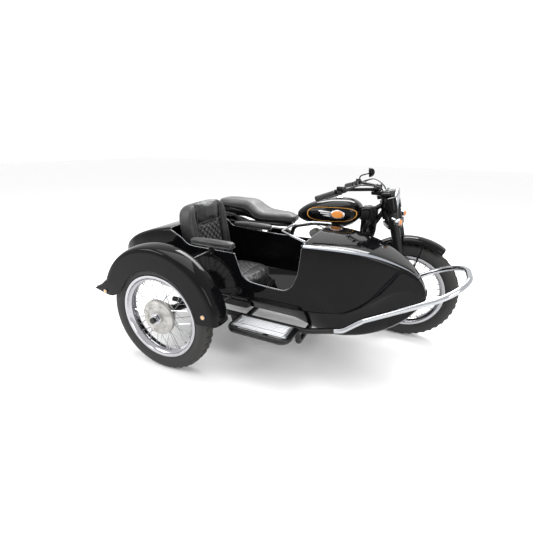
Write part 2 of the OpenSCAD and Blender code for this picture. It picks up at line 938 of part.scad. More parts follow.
module mirror_arm() {
    p = bar_points();
    color(satin)
        difference() {
            union() {
                pipe([[-406, 246, bar_z + 6], [-404, 256, bar_z + 50],
                    [-352, 300, bar_z + 62]], 5, 16);
                across([-406, 247, bar_z + 3], 17, 14);
                translate([-346, 304, bar_z + 72])
                    rotate([0, -82, 8])
                        cylinder(h = 16, r1 = 36, r2 = 30, center = true);
            }
            mirror([0, 1, 0])
                pipe(p, bar_r + eps, 46);
        }
}

module front_indicators() {
    y = fork_spacing / 2 + cover_r;
    color(chrome)
        both() {
            rod([-110, -y - 7.5, 838], [-78, -y - 24, 826], 8);
            translate([-72, -y - 31, 822])
                sphere(24);
        }
}

module front_mudguard() {
    color(black)
        translate([front_x, 0, axle_z])
            rotate([90, 0, 0])
                rotate([0, 0, 57])
                    rotate_extrude(angle = 122)
                        polygon([[342, 66], [356, 64], [372, 42], [378, 0], [372, -42],
                            [356, -64], [342, -66], [342, -62], [354, -60], [368, -40],
                            [374, 0], [368, 40], [354, 60], [342, 62]]);
    color(satin)
        both()
            difference() {
                union() {
                    rod([front_x + 150, -65, axle_z + 315], [front_x + 2, -84, axle_z + 16],
                        5);
                    rod([front_x - 300, -65, axle_z + 172], [front_x - 6, -84, axle_z + 6],
                        5);
                    rod([front_x - 62, -58, axle_z + 352], leg_at(axle_z + 348, -1), 8);
                }
                rod(leg_at(axle_z - 40, -1), leg_at(615, -1), 25 + eps);
                rod(leg_at(598, -1), leg_at(880, -1), cover_r + eps);
                across([front_x + 2, -fork_spacing / 2, axle_z], 24 + eps, 44 + 2 * eps);
                across([front_x, 0, axle_z], axle_r + eps, 300);
            }
}

// ---------- wheels ----------

// A tyre lying round the Y axis at the origin.
module tyre() {
    color(rubber)
        rotate([90, 0, 0])
            difference() {
                rotate_extrude()
                    translate([tyre_r - tyre_w / 2, 0])
                        circle(tyre_w / 2);
                cylinder(h = tyre_w + 10, r = rim_r + eps, center = true);
            }
}

// Rim, spokes and hub; drum_side is 1 where the drum faces left, -1 right.
module wheel_core(drum_side, drum_r) {
    spokes = 20;
    color(chrome)
        rotate([90, 0, 0])
            rotate_extrude()
                polygon([[rim_r - 26, -16], [rim_r - 16, -34], [rim_r, -37], [rim_r, -32],
                    [rim_r - 12, -28], [rim_r - 20, -12], [rim_r - 20, 12],
                    [rim_r - 12, 28], [rim_r, 32], [rim_r, 37], [rim_r - 16, 34],
                    [rim_r - 26, 16]]);
    color(chrome)
        for (i = [0:spokes - 1])
            rotate([0, i * 360 / spokes, 0]) {
                s = i % 2 == 0 ? 1 : -1;
                rod([52, s * 30, s * 8], [rim_r - 23, s * 6, 0], 2.4);
            }
    color(grey)
        rotate([90, 0, 0])
            difference() {
                union() {
                    cylinder(h = 96, r = 32, center = true);
                    for (s = [-1, 1])
                        translate([0, 0, s * 30])
                            cylinder(h = 8, r = 62, center = true);
                    translate([0, 0, -drum_side * 33])
                        cylinder(h = 30, r = drum_r, center = true);
                }
                cylinder(h = 120, r = bore_r, center = true);
            }
}

module front_wheel() {
    translate([front_x, 0, axle_z]) wheel_core(1, 88);
}
module front_tyre() {
    translate([front_x, 0, axle_z]) tyre();
}
module rear_wheel() {
    translate([rear_x, 0, axle_z]) wheel_core(1, 88);
}
module rear_tyre() {
    translate([rear_x, 0, axle_z]) tyre();
}
module side_wheel() {
    translate([side_x, -track, axle_z]) wheel_core(-1, 104);
}
module side_tyre() {
    translate([side_x, -track, axle_z]) tyre();
}

// ---------- stand ----------

module centre_stand() {
    color(satin)
        difference() {
            union() {
                both() {
                    pipe([[-935, -96, 214], [-1150, -130, 196], [-1182, -150, 196]], 12, 30);
                    across([-935, -92, 214], 16, 30);
                }
                rod([-1000, -106, 208.6], [-1000, 106, 208.6], 10);
            }
            across([-935, 0, 214], 6.5, 300);
        }
}

// ---------- output ----------

module place() {
    translate([shift_x, shift_y, 0]) children();
}

place() main_frame();
place() swing_arm();
place() rear_shocks();
place() crankcase();
place() cylinder_block();  // cylinder
place() exhaust();
place() fuel_tank();
place() rider_seat();
place() side_boxes();
place() rear_mudguard();
place() rear_lamps();
place() chain_case();
place() footrests();
place() foot_controls();
place() sidecar_frame();
place() sidecar_axle();
place() footboard();
place() bumper();
place() sidecar_floor();
place() sidecar_nose();
place() sidecar_deck();
place() sidecar_wall_right();
place() sidecar_wall_left();
place() sidecar_tail();
place() coaming_rail();
place() sidecar_cushion();
place() sidecar_backrest();
place() armrests();
place() sidecar_mudguard();
place() marker_lamps();
place() fork_legs();
place() fork_yokes();
place() headlamp();
place() handlebar();
place() grips();
place() levers();
place() mirror_arm();  // mirror
place() front_indicators();
place() front_mudguard();
place() front_wheel();
place() front_tyre();
place() rear_wheel();
place() rear_tyre();
place() side_wheel();
place() side_tyre();
place() centre_stand();
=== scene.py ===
"""Looks of a sidecar motorcycle: smooth panels, padded leather, wheels and small fittings.

Every piece is modelled round the fixed CAD frame, in metres, in the frame's own axes:
X forward, Y to the rider's left, Z up. Plan sizes in this file are millimetres measured
from the motorcycle's centre plane, and Datum turns them into the frame's metres.
"""
import json
import logging
import math
from contextlib import contextmanager
from dataclasses import dataclass
from enum import Enum
from typing import Callable, Iterator, Sequence

import bmesh
import bpy
import numpy as np
from mathutils import Matrix, Vector


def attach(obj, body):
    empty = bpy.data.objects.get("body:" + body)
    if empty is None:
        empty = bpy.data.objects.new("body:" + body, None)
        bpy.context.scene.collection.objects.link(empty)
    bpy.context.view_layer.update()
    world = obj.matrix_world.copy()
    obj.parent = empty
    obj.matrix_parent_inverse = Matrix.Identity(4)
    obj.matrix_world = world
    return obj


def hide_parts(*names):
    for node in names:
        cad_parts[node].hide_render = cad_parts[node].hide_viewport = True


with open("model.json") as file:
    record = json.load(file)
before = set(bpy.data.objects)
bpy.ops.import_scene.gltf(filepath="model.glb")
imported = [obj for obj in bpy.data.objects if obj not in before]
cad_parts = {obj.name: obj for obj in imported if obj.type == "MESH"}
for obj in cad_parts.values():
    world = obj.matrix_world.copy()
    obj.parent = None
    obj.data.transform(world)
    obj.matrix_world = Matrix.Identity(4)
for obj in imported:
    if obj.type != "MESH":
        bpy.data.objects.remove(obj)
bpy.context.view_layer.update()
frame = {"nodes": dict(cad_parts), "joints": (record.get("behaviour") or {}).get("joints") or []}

logging.basicConfig(level=logging.INFO, format="%(name)s: %(message)s")
log = logging.getLogger("outfit")

Piece = bpy.types.Object
Material = bpy.types.Material
Point = tuple[float, float, float]
Rows = Sequence[Sequence[Sequence[float]]]


# ---------- places ----------


@dataclass(frozen=True)
class Datum:
    """Where plan millimetres lie in the frame."""

    x: float
    y: float

    def at(self, x: float, y: float, z: float) -> Vector:
        """Point of the frame, in metres, for a place in plan millimetres."""
        return Vector((x / 1000 + self.x, y / 1000 + self.y, z / 1000))


def read_datum() -> Datum:
    """Datum taken from the front wheel's own joint, which stands 20 mm ahead of zero."""
    hub = next(j for j in frame["joints"] if j["name"] == "front_wheel_spin")["pos_m"]
    return Datum(hub[0] - 0.020, hub[1])


HERE = read_datum()
AXLE_Z = 331.0
FRONT_X = 20.0
REAR_X = -1350.0
SIDE_X = -1198.0
TRACK_Y = -1040.0
BODY_Y = -525.0
RAKE = math.radians(15.5)
AHEAD, LEFT, UP = Vector((1, 0, 0)), Vector((0, 1, 0)), Vector((0, 0, 1))
ASTERN, RIGHT = Vector((-1, 0, 0)), Vector((0, -1, 0))
CUSHION_BED_Z = 370.0
STEP_X, STEP_Y = -641.0, -877.5
BAR_END = (-528.0, 385.0, 958.0)
BAR_BEND = (-396.0, 236.0, 1004.0)


class Body(Enum):
    """Moving groups of the outfit, by their names in the frame."""

    OUTFIT = "outfit"
    STEERING = "steering"
    FRONT_WHEEL = "front_wheel_set"
    REAR_WHEEL = "rear_wheel_set"
    SIDE_WHEEL = "side_wheel_set"


# ---------- curves and tables ----------


def look(table: Sequence[tuple[float, float]], x: float) -> float:
    """Value at x of a smooth curve through a table.

    Args:
        table: rows of (x, value), x rising.
        x: where to read.

    Returns:
        The value, by cubic steps whose slopes join.
    """
    last = len(table) - 1
    i = min(max(next((k for k in range(last) if x <= table[k + 1][0]), last - 1), 0), last - 1)

    def slope(k: int) -> float:
        """Slope at a row."""
        a, b = max(k - 1, 0), min(k + 1, last)
        return (table[b][1] - table[a][1]) / (table[b][0] - table[a][0])

    h = table[i + 1][0] - table[i][0]
    t = (x - table[i][0]) / h
    return (
        (2 * t**3 - 3 * t**2 + 1) * table[i][1]
        + (t**3 - 2 * t**2 + t) * h * slope(i)
        + (3 * t**2 - 2 * t**3) * table[i + 1][1]
        + (t**3 - t**2) * h * slope(i + 1)
    )


def flow(points: Sequence[Sequence[float]], each: int, closed: bool = False) -> list[Vector]:
    """Smooth line through points.

    Args:
        points: places it passes, in two or three numbers each.
        each: how many steps between two of them.
        closed: True joins the end to the start.

    Returns:
        The places along the line.
    """
    p = [Vector(q) for q in points]
    n = len(p)
    spans = n if closed else n - 1
    out = []
    for i in range(spans):
        if closed:
            a, b, c, d = (p[(i + k) % n] for k in (-1, 0, 1, 2))
        else:
            a, b, c, d = p[max(i - 1, 0)], p[i], p[i + 1], p[min(i + 2, n - 1)]
        for k in range(each):
            t = k / each
            out.append(
                0.5
                * (
                    2 * b
                    + (c - a) * t
                    + (2 * a - 5 * b + 4 * c - d) * t * t
                    + (3 * b - a - 3 * c + d) * t**3
                )
            )
    if not closed:
        out.append(p[-1])
    return out


def rounded_line(points: Sequence[Sequence[float]], bend: float, steps: int = 6) -> list[Vector]:
    """Straight legs with rounded corners.

    Args:
        points: the corners and the two ends.
        bend: length taken off each leg at a corner.
        steps: how many steps round a corner.

    Returns:
        The places along the line.
    """
    p = [Vector(q) for q in points]
    out = [p[0]]
    for a, b, c in zip(p, p[1:], p[2:]):
        one = b + (a - b).normalized() * min(bend, (a - b).length * 0.48)
        two = b + (c - b).normalized() * min(bend, (c - b).length * 0.48)
        for k in range(steps + 1):
            t = k / steps
            out.append(one * (1 - t) ** 2 + b * 2 * t * (1 - t) + two * t * t)
    out.append(p[-1])
    return out


# ---------- modelling ----------


def clear_selection() -> None:
    """Deselects everything, in object mode."""
    if bpy.context.object and bpy.context.object.mode != "OBJECT":
        bpy.ops.object.mode_set(mode="OBJECT")
    bpy.ops.object.select_all(action="DESELECT")


def grab(piece: Piece) -> None:
    """Makes one piece the only selected and active one."""
    clear_selection()
    piece.select_set(True)
    bpy.context.view_layer.objects.active = piece


@contextmanager
def editing(piece: Piece) -> Iterator[bmesh.types.BMesh]:
    """Edit mode on one piece with nothing selected; gives its edit mesh."""
    grab(piece)
    bpy.ops.object.mode_set(mode="EDIT")
    bpy.ops.mesh.select_all(action="DESELECT")
    yield bmesh.from_edit_mesh(piece.data)
    bpy.ops.object.mode_set(mode="OBJECT")


def pick(piece: Piece, edit: bmesh.types.BMesh, kind: str, test: Callable) -> int:
    """Selects parts of an edit mesh that pass a test.

    Args:
        piece: the piece in edit mode.
        edit: its edit mesh.
        kind: "VERT", "EDGE" or "FACE".
        test: takes one vertex, edge or face and says whether it's wanted.

    Returns:
        How many were selected.
    """
    bpy.ops.mesh.select_mode(type=kind)
    parts = {"VERT": edit.verts, "EDGE": edit.edges, "FACE": edit.faces}[kind]
    found = [p for p in parts if test(p)]
    for p in found:
        p.select_set(True)
    edit.select_flush_mode()
    bmesh.update_edit_mesh(piece.data)
    return len(found)


def settle(piece: Piece) -> Piece:
    """Puts a piece's place into its mesh and its object at the origin."""
    grab(piece)
    bpy.ops.object.transform_apply(location=True, rotation=True, scale=True)
    return piece


def tidy(piece: Piece, gap: float = 0.00005) -> Piece:
    """Merges doubles and turns every face outwards."""
    with editing(piece):
        bpy.ops.mesh.select_all(action="SELECT")
        bpy.ops.mesh.remove_doubles(threshold=gap)
        bpy.ops.mesh.normals_make_consistent(inside=False)
    return piece


def apply(piece: Piece, kind: str, **settings: object) -> Piece:
    """Adds a modifier with these settings and applies it.

    Args:
        piece: what it works on.
        kind: the modifier's type.
        **settings: its properties.

    Returns:
        The same piece.
    """
    grab(piece)
    modifier = piece.modifiers.new(kind.title(), kind)
    for key, value in settings.items():
        setattr(modifier, key, value)
    bpy.ops.object.modifier_apply(modifier=modifier.name)
    return piece


def bevel(piece: Piece, width: float, steps: int = 2, angle: float = 30) -> Piece:
    """Rounds the edges sharper than an angle."""
    return apply(
        piece, "BEVEL", width=width, segments=steps, limit_method="ANGLE", angle_limit=math.radians(angle)
    )


def smooth(piece: Piece, angle: float = 40) -> Piece:
    """Shades a piece smooth except at edges sharper than an angle."""
    grab(piece)
    bpy.ops.object.shade_smooth_by_angle(angle=math.radians(angle))
    return piece


def join(name: str, pieces: Sequence[Piece]) -> Piece:
    """Joins pieces into one of that name."""
    grab(pieces[0])
    for p in pieces[1:]:
        p.select_set(True)
    if len(pieces) > 1:
        bpy.ops.object.join()
    made = bpy.context.object
    made.name = made.data.name = name
    return made


def skin(name: str, rows: Rows, closed: bool = False) -> Piece:
    """Sheet through rows of places.

    A grid is added with a line for each row and its vertices are set to the places.

    Args:
        name: the piece's name.
        rows: equal rows of places in the frame.
        closed: True joins each row's end to its start.

    Returns:
        The piece, its faces outwards when it is closed.
    """
    wide = len(rows[0]) + (1 if closed else 0)
    clear_selection()
    bpy.ops.mesh.primitive_grid_add(x_subdivisions=wide - 1, y_subdivisions=len(rows) - 1, size=1)
    piece = bpy.context.object
    flat = [c for row in rows for q in (list(row) + ([row[0]] if closed else [])) for c in q]
    piece.data.vertices.foreach_set("co", np.array(flat, np.float32))
    piece.data.update()
    piece.name = piece.data.name = name
    return tidy(piece) if closed else piece


def cap_ends(piece: Piece) -> Piece:
    """Closes every open rim of a piece with a face."""
    with editing(piece) as edit:
        pick(piece, edit, "EDGE", lambda e: e.is_boundary)
        bpy.ops.mesh.edge_face_add()
        bpy.ops.mesh.select_all(action="SELECT")
        bpy.ops.mesh.normals_make_consistent(inside=False)
    return piece


def outward(piece: Piece) -> Piece:
    """Turns every face of a piece outwards."""
    with editing(piece):
        bpy.ops.mesh.select_all(action="SELECT")
        bpy.ops.mesh.normals_make_consistent(inside=False)
    return piece


def place_along(piece: Piece, centre: Vector, axis: Vector) -> None:
    """Stands a piece modelled along Z on a centre, along an axis."""
    turn = axis.normalized().to_track_quat("Z", "Y").to_matrix().to_4x4()
    piece.data.transform(Matrix.Translation(centre) @ turn)


def lathe(
    name: str, profile: Sequence[Sequence[float]], centre: Vector, axis: Vector, steps: int = 64
) -> Piece:
    """Closed outline spun round an axis.

    Args:
        name: the piece's name.
        profile: places (radius, height along the axis) in millimetres, as a closed outline.
        centre: where the axis has height zero.
        axis: its direction.
        steps: how many steps round.

    Returns:
        The solid.
    """
    clear_selection()
    bpy.ops.mesh.primitive_circle_add(vertices=len(profile), radius=1)
    piece = bpy.context.object
    for v, (r, h) in zip(piece.data.vertices, profile):
        v.co = (r / 1000, 0, h / 1000)
    with editing(piece):
        bpy.ops.mesh.select_all(action="SELECT")
        bpy.ops.mesh.spin(steps=steps, angle=2 * math.pi, center=(0, 0, 0), axis=(0, 0, 1))
        bpy.ops.mesh.select_all(action="SELECT")
        bpy.ops.mesh.remove_doubles(threshold=0.00002)
        bpy.ops.mesh.normals_make_consistent(inside=False)
    place_along(piece, centre, axis)
    piece.name = piece.data.name = name
    return smooth(piece, 35)


def tube(
    name: str, line: Sequence[Sequence[float]], radius: float, sides: int = 3, closed: bool = False
) -> Piece:
    """Round tube along a line.

    Args:
        name: the piece's name.
        line: places of the frame, in metres.
        radius: in metres.
        sides: the bevel's resolution; the tube has twice that plus four sides.
        closed: True for a ring.

    Returns:
        The tube as a mesh.
    """
    clear_selection()
    bpy.ops.curve.primitive_nurbs_path_add()
    piece = bpy.context.object
    curve = piece.data
    curve.splines.clear()
    spline = curve.splines.new("POLY")
    spline.points.add(len(line) - 1)
    for point, place in zip(spline.points, line):
        point.co = (*place, 1)
    spline.use_cyclic_u = closed
    curve.dimensions = "3D"
    curve.bevel_depth = radius
    curve.bevel_resolution = sides
    curve.use_fill_caps = not closed
    grab(piece)
    bpy.ops.object.convert(target="MESH")
    piece = bpy.context.object
    piece.name = piece.data.name = name
    return smooth(tidy(piece, 0.00001), 50)


def block(name: str, centre: Vector, size: Point, edge: float, steps: int = 3) -> Piece:
    """Box with rounded edges; sizes in millimetres."""
    clear_selection()
    bpy.ops.mesh.primitive_cube_add(size=1, location=centre, scale=[s / 1000 for s in size])
    piece = settle(bpy.context.object)
    piece.name = piece.data.name = name
    return smooth(bevel(piece, edge / 1000, steps), 40)


def hex_bolt(name: str, centre: Vector, axis: Vector, radius: float) -> Piece:
    """Domed hexagon head on a washer; the radius is in millimetres."""
    r = radius / 1000
    clear_selection()
    bpy.ops.mesh.primitive_cylinder_add(
        vertices=24, radius=r * 1.35, depth=r * 0.3, location=(0, 0, r * 0.15)
    )
    washer = settle(bpy.context.object)
    clear_selection()
    bpy.ops.mesh.primitive_cylinder_add(vertices=6, radius=r, depth=r * 0.8, location=(0, 0, r * 0.7))
    head = settle(bpy.context.object)
    with editing(head) as edit:
        pick(head, edit, "FACE", lambda f: f.normal.z > 0.9)
        bpy.ops.mesh.inset(thickness=r * 0.16, depth=r * 0.14)
    made = join(name, [washer, bevel(head, r * 0.06, 1)])
    place_along(made, centre, axis)
    return smooth(made, 30)


def finish_piece(
    piece: Piece,
    body: Body,
    look_of: Material,
    replaces: Sequence[str] = (),
) -> Piece:
    """Gives a piece its material and its body, and hides the CAD nodes it stands for.

    Args:
        piece: the finished mesh.
        body: the moving group it rides on.
        look_of: its material.
        replaces: CAD nodes it stands for.

    Returns:
        The same piece.
    """
    piece.data.materials.clear()
    piece.data.materials.append(look_of)
    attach(piece, body.value)
    if replaces:
        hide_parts(*replaces)
    log.info("%s: %d faces on %s", piece.name, len(piece.data.polygons), body.value)
    return piece


# ---------- shader maths ----------


class Wire:
    """One output socket, on which sums are written as plain expressions."""

    def __init__(self, sheet: "Shader", socket: bpy.types.NodeSocket) -> None:
        """Keeps the node tree and the socket."""
        self.sheet = sheet
        self.socket = socket

    def _sum(self, operation: str, *values: "Wire | float") -> "Wire":
        """Math node of that operation on this value and others."""
        return self.sheet.node("ShaderNodeMath", {"operation": operation}, *values)

    def __add__(self, other: "Wire | float") -> "Wire":
        """This plus other."""
        return self._sum("ADD", self, other)

    __radd__ = __add__

    def __mul__(self, other: "Wire | float") -> "Wire":
        """This times other."""
        return self._sum("MULTIPLY", self, other)

    __rmul__ = __mul__

    def __sub__(self, other: "Wire | float") -> "Wire":
        """This minus other."""
        return self._sum("SUBTRACT", self, other)

    def __rsub__(self, other: "Wire | float") -> "Wire":
        """Other minus this."""
        return self._sum("SUBTRACT", other, self)

    def __truediv__(self, other: "Wire | float") -> "Wire":
        """This over other."""
        return self._sum("DIVIDE", self, other)

    def __pow__(self, other: "Wire | float") -> "Wire":
        """This to the power of other."""
        return self._sum("POWER", self, other)

    def __abs__(self) -> "Wire":
        """Size of this without its sign."""
        return self._sum("ABSOLUTE", self)

    def step(self, low: float, high: float) -> "Wire":
        """0 below low, 1 above high and a soft rise between."""
        return self.sheet.node(
            "ShaderNodeMapRange", {"interpolation_type": "SMOOTHSTEP"}, self, low, high, 0.0, 1.0
        )


class Shader:
    """Node tree of one material, with one Principled shader."""

    def __init__(self, name: str) -> None:
        """Makes the material and clears its tree down to the shader."""
        self.material = bpy.data.materials.new(name)
        self.material.use_nodes = True
        self.tree = self.material.node_tree
        self.shader = next(n for n in self.tree.nodes if n.type == "BSDF_PRINCIPLED")

    def node(
        self, kind: str, settings: dict | None = None, *values: object, out: int = 0, **links: object
    ) -> Wire:
        """Adds a node.

        Args:
            kind: the node's type.
            settings: properties set first.
            *values: its inputs in order; None leaves one as it is.
            out: which output is returned.
            **links: inputs by name, with underscores for spaces.

        Returns:
            The output as a Wire.
        """
        made = self.tree.nodes.new(kind)
        for key, value in (settings or {}).items():
            if key == "stops":
                ramp = made.color_ramp
                while len(ramp.elements) < len(value):
                    ramp.elements.new(0.5)
                for element, (place, colour) in zip(ramp.elements, value):
                    element.position = place
                    element.color = (*colour, 1)
            else:
                setattr(made, key, value)
        pairs = list(zip(made.inputs, values))
        pairs += [(made.inputs[key.replace("_", " ")], value) for key, value in links.items()]
        for socket, value in pairs:
            if isinstance(value, Wire):
                self.tree.links.new(value.socket, socket)
            elif value is not None:
                socket.default_value = value
        return Wire(self, made.outputs[out])

    def place(self, scale: Point = (1, 1, 1), shift: Point = (0, 0, 0)) -> Wire:
        """Object coordinates, scaled and shifted."""
        where = self.node("ShaderNodeTexCoord", out=3)
        return self.node("ShaderNodeMapping", None, where, Location=shift, Scale=scale)

    def axes(self) -> tuple[Wire, Wire, Wire]:
        """The three object coordinates, in metres."""
        where = self.node("ShaderNodeTexCoord", out=3)
        first = self.node("ShaderNodeSeparateXYZ", None, where)
        outs = first.socket.node.outputs
        return Wire(self, outs[0]), Wire(self, outs[1]), Wire(self, outs[2])

    def noise(self, scale: float, detail: float = 4, rough: float = 0.55, where: Wire | None = None) -> Wire:
        """Noise on object coordinates; the scale is in blobs a metre."""
        return self.node(
            "ShaderNodeTexNoise",
            {"noise_dimensions": "3D"},
            Vector=where or self.place(),
            Scale=scale,
            Detail=detail,
            Roughness=rough,
        )

    def mix(self, share: "Wire | float", one: object, two: object) -> Wire:
        """Colour between two by a share."""
        made = self.tree.nodes.new("ShaderNodeMix")
        made.data_type = "RGBA"
        for socket, value in zip((made.inputs[0], made.inputs[6], made.inputs[7]), (share, one, two)):
            if isinstance(value, Wire):
                self.tree.links.new(value.socket, socket)
            else:
                socket.default_value = (*value, 1) if isinstance(value, tuple) else value
        return Wire(self, made.outputs[2])

    def bump(self, height: Wire, depth: float, strength: float = 1.0) -> Wire:
        """Normal from a height; the depth is in metres."""
        return self.node("ShaderNodeBump", None, Strength=strength, Distance=depth, Height=height)

    def set(self, **sockets: object) -> Material:
        """Sets or links the Principled shader's sockets and gives the material."""
        for key, value in sockets.items():
            socket = self.shader.inputs[key.replace("_", " ")]
            if isinstance(value, Wire):
                self.tree.links.new(value.socket, socket)
            else:
                socket.default_value = (*value, 1) if isinstance(value, tuple) and len(value) == 3 else value
        return self.material


# ---------- finishes ----------


@dataclass(frozen=True)
class GlossPaint:
    """Deep black stove enamel under lacquer, with faint dust and a soft ripple."""

    name: str = "gloss_enamel"
    colour: Point = (0.003, 0.003, 0.0035)
    rough: float = 0.06

    def material(self) -> Material:
        """Makes the material."""
        s = Shader(self.name)
        dust = s.noise(9, 6, 0.6).step(0.5, 0.8)
        fleck = s.noise(420, 2, 0.5).step(0.62, 0.7)
        tint = s.mix(dust * 0.05, self.colour, (0.05, 0.05, 0.052))
        ripple = s.noise(34, 3, 0.5) * 0.7 + s.noise(6, 2, 0.5) * 0.6
        return s.set(
            Base_Color=tint,
            Roughness=self.rough + dust * 0.05 + fleck * 0.03,
            Normal=s.bump(ripple, 0.0006, 0.12),
            Coat_Weight=0.04,
            Coat_Roughness=0.03,
            Specular_IOR_Level=0.11,
        )


@dataclass(frozen=True)
class StripedPaint:
    """The tank's enamel, with a gold line round a long oval on each side."""

    name: str = "tank_enamel"
    centre_x: float = -505.0
    centre_z: float = 822.0
    half_x: float = 165.0
    half_z: float = 46.0
    rise: float = 0.05
    line: float = 1.6

    def material(self) -> Material:
        """Makes the material."""
        s = Shader(self.name)
        x, y, z = s.axes()
        c = HERE.at(self.centre_x, 0, self.centre_z)
        u = abs(x - c.x) / (self.half_x / 1000)
        v = abs(z - c.z - (x - c.x) * self.rise) / (self.half_z / 1000)
        ring = abs((u**3.2 + v**2.6) ** 0.36 - 1.0) * (self.half_z / 1000)
        gold = 1 - ring.step(self.line / 1000 * 0.45, self.line / 1000 * 0.75)
        side = abs(y - c.y).step(0.075, 0.08)
        mask = gold * side
        dust = s.noise(12, 5, 0.6).step(0.5, 0.8)
        paint = s.mix(dust * 0.05, (0.003, 0.003, 0.0035), (0.05, 0.05, 0.05))
        ripple = s.noise(30, 3, 0.5)
        return s.set(
            Base_Color=s.mix(mask, paint, (0.62, 0.3, 0.07)),
            Roughness=0.07 + dust * 0.05 + mask * 0.15,
            Normal=s.bump(ripple + mask * 0.5, 0.0005, 0.12),
            Coat_Weight=0.05,
            Coat_Roughness=0.03,
            Specular_IOR_Level=0.14,
        )


@dataclass(frozen=True)
class FramePaint:
    """Satin black tube enamel with chips of primer and road dust low down."""

    name: str = "frame_enamel"
    colour: Point = (0.006, 0.006, 0.0065)
    rough: float = 0.26

    def material(self) -> Material:
        """Makes the material."""
        s = Shader(self.name)
        _, _, z = s.axes()
        low = 1 - z.step(0.12, 0.5)
        dust = s.noise(22, 6, 0.65).step(0.42, 0.75)
        grain = s.noise(600, 2, 0.5)
        return s.set(
            Base_Color=s.mix(dust * (0.05 + low * 0.1), self.colour, (0.11, 0.105, 0.095)),
            Roughness=self.rough + dust * 0.18 + grain * 0.06,
            Normal=s.bump(grain + dust * 0.8, 0.0003, 0.3),
            Coat_Weight=0.05,
            Specular_IOR_Level=0.25,
        )


@dataclass(frozen=True)
class Chrome:
    """Plated steel with faint polishing marks and a few dull spots."""

    name: str = "bright_plate"
    colour: Point = (0.46, 0.47, 0.49)
    rough: float = 0.1

    def material(self) -> Material:
        """Makes the material."""
        s = Shader(self.name)
        dull = s.noise(40, 5, 0.6).step(0.5, 0.8)
        marks = s.noise(700, 2, 0.5, s.place((1, 0.12, 1)))
        return s.set(
            Base_Color=s.mix(dull * 0.4, self.colour, (0.3, 0.29, 0.28)),
            Metallic=1.0,
            Roughness=self.rough + dull * 0.12 + marks * 0.05,
            Normal=s.bump(marks, 0.0001, 0.15),
        )


@dataclass(frozen=True)
class CastAlloy:
    """Sand-cast aluminium, bead-blasted, greyer in the hollows."""

    name: str = "cast_alloy_skin"
    colour: Point = (0.4, 0.4, 0.39)
    rough: float = 0.42

    def material(self) -> Material:
        """Makes the material."""
        s = Shader(self.name)
        stain = s.noise(26, 6, 0.65).step(0.4, 0.75)
        sand = s.noise(900, 3, 0.6)
        return s.set(
            Base_Color=s.mix(stain * 0.55, self.colour, (0.2, 0.19, 0.18)),
            Metallic=0.85,
            Roughness=self.rough + stain * 0.16 + sand * 0.1,
            Normal=s.bump(sand + stain * 0.4, 0.0004, 0.45),
        )


@dataclass(frozen=True)
class BrushedPlate:
    """Stainless step plate, brushed along its length, scuffed by shoes."""

    name: str = "brushed_step"
    colour: Point = (0.6, 0.61, 0.63)

    def material(self) -> Material:
        """Makes the material."""
        s = Shader(self.name)
        brush = s.noise(1, 6, 0.7, s.place((14, 900, 40)))
        scuff = s.noise(16, 6, 0.7).step(0.5, 0.8)
        return s.set(
            Base_Color=s.mix(scuff * 0.35, self.colour, (0.5, 0.5, 0.5)),
            Metallic=0.9,
            Roughness=0.25 + brush * 0.22 + scuff * 0.14,
            Normal=s.bump(brush, 0.0002, 0.4),
        )


@dataclass(frozen=True)
class Leather:
    """Black hide: a fine pebble grain, soft creases and a polish where it is sat on."""

    name: str = "black_hide"
    colour: Point = (0.008, 0.008, 0.009)
    grain: float = 420.0
    rough: float = 0.4

    def material(self) -> Material:
        """Makes the material."""
        s = Shader(self.name)
        cells = s.node(
            "ShaderNodeTexVoronoi",
            {"feature": "F1"},
            Vector=s.place(),
            Scale=self.grain,
            Randomness=0.9,
        )
        pebble = 1 - cells.step(0.05, 0.75)
        crease = 1 - abs(s.noise(38, 5, 0.6) - 0.5).step(0.0, 0.05)
        wear = s.noise(7, 4, 0.6).step(0.4, 0.75)
        return s.set(
            Base_Color=s.mix(wear * 0.5 + crease * 0.15, self.colour, (0.05, 0.05, 0.053)),
            Roughness=self.rough - wear * 0.1 + pebble * 0.08,
            Normal=s.bump(pebble * 0.8 - crease * 0.5, 0.0007, 0.5),
            Sheen_Weight=0.1,
            Specular_IOR_Level=0.5,
        )


@dataclass(frozen=True)
class TyreRubber:
    """Dark tyre rubber with moulded rings on the wall and dust in the tread."""

    name: str = "tyre_wall"
    hub: Point = (0.0, 0.0, 0.0)

    def material(self) -> Material:
        """Makes the material."""
        s = Shader(self.name)
        x, _, z = s.axes()
        dx, dz = x - self.hub[0], z - self.hub[2]
        r = (dx * dx + dz * dz) ** 0.5
        rings = s.node("ShaderNodeMath", {"operation": "SINE"}, r * 1400.0)
        wall = r.step(0.262, 0.268) * (1 - r.step(0.296, 0.3))
        dust = s.noise(18, 6, 0.65).step(0.4, 0.75)
        crown = r.step(0.308, 0.322)
        fine = s.noise(800, 3, 0.6)
        return s.set(
            Base_Color=s.mix(
                dust * 0.3 + crown * 0.25, (0.014, 0.014, 0.014), (0.055, 0.052, 0.047)
            ),
            Roughness=0.62 + dust * 0.2 + fine * 0.08,
            Normal=s.bump(fine * 0.5 + rings * wall * 0.35 + dust * 0.3, 0.0008, 0.5),
        )


@dataclass(frozen=True)
class SoftRubber:
    """Matt black rubber of grips, treads and mats."""

    name: str = "moulded_rubber"
    colour: Point = (0.016, 0.016, 0.016)

    def material(self) -> Material:
        """Makes the material."""
        s = Shader(self.name)
        fine = s.noise(900, 3, 0.6)
        dust = s.noise(30, 5, 0.6).step(0.45, 0.8)
        return s.set(
            Base_Color=s.mix(dust * 0.3, self.colour, (0.07, 0.068, 0.064)),
            Roughness=0.6 + fine * 0.15,
            Normal=s.bump(fine, 0.0004, 0.5),
        )


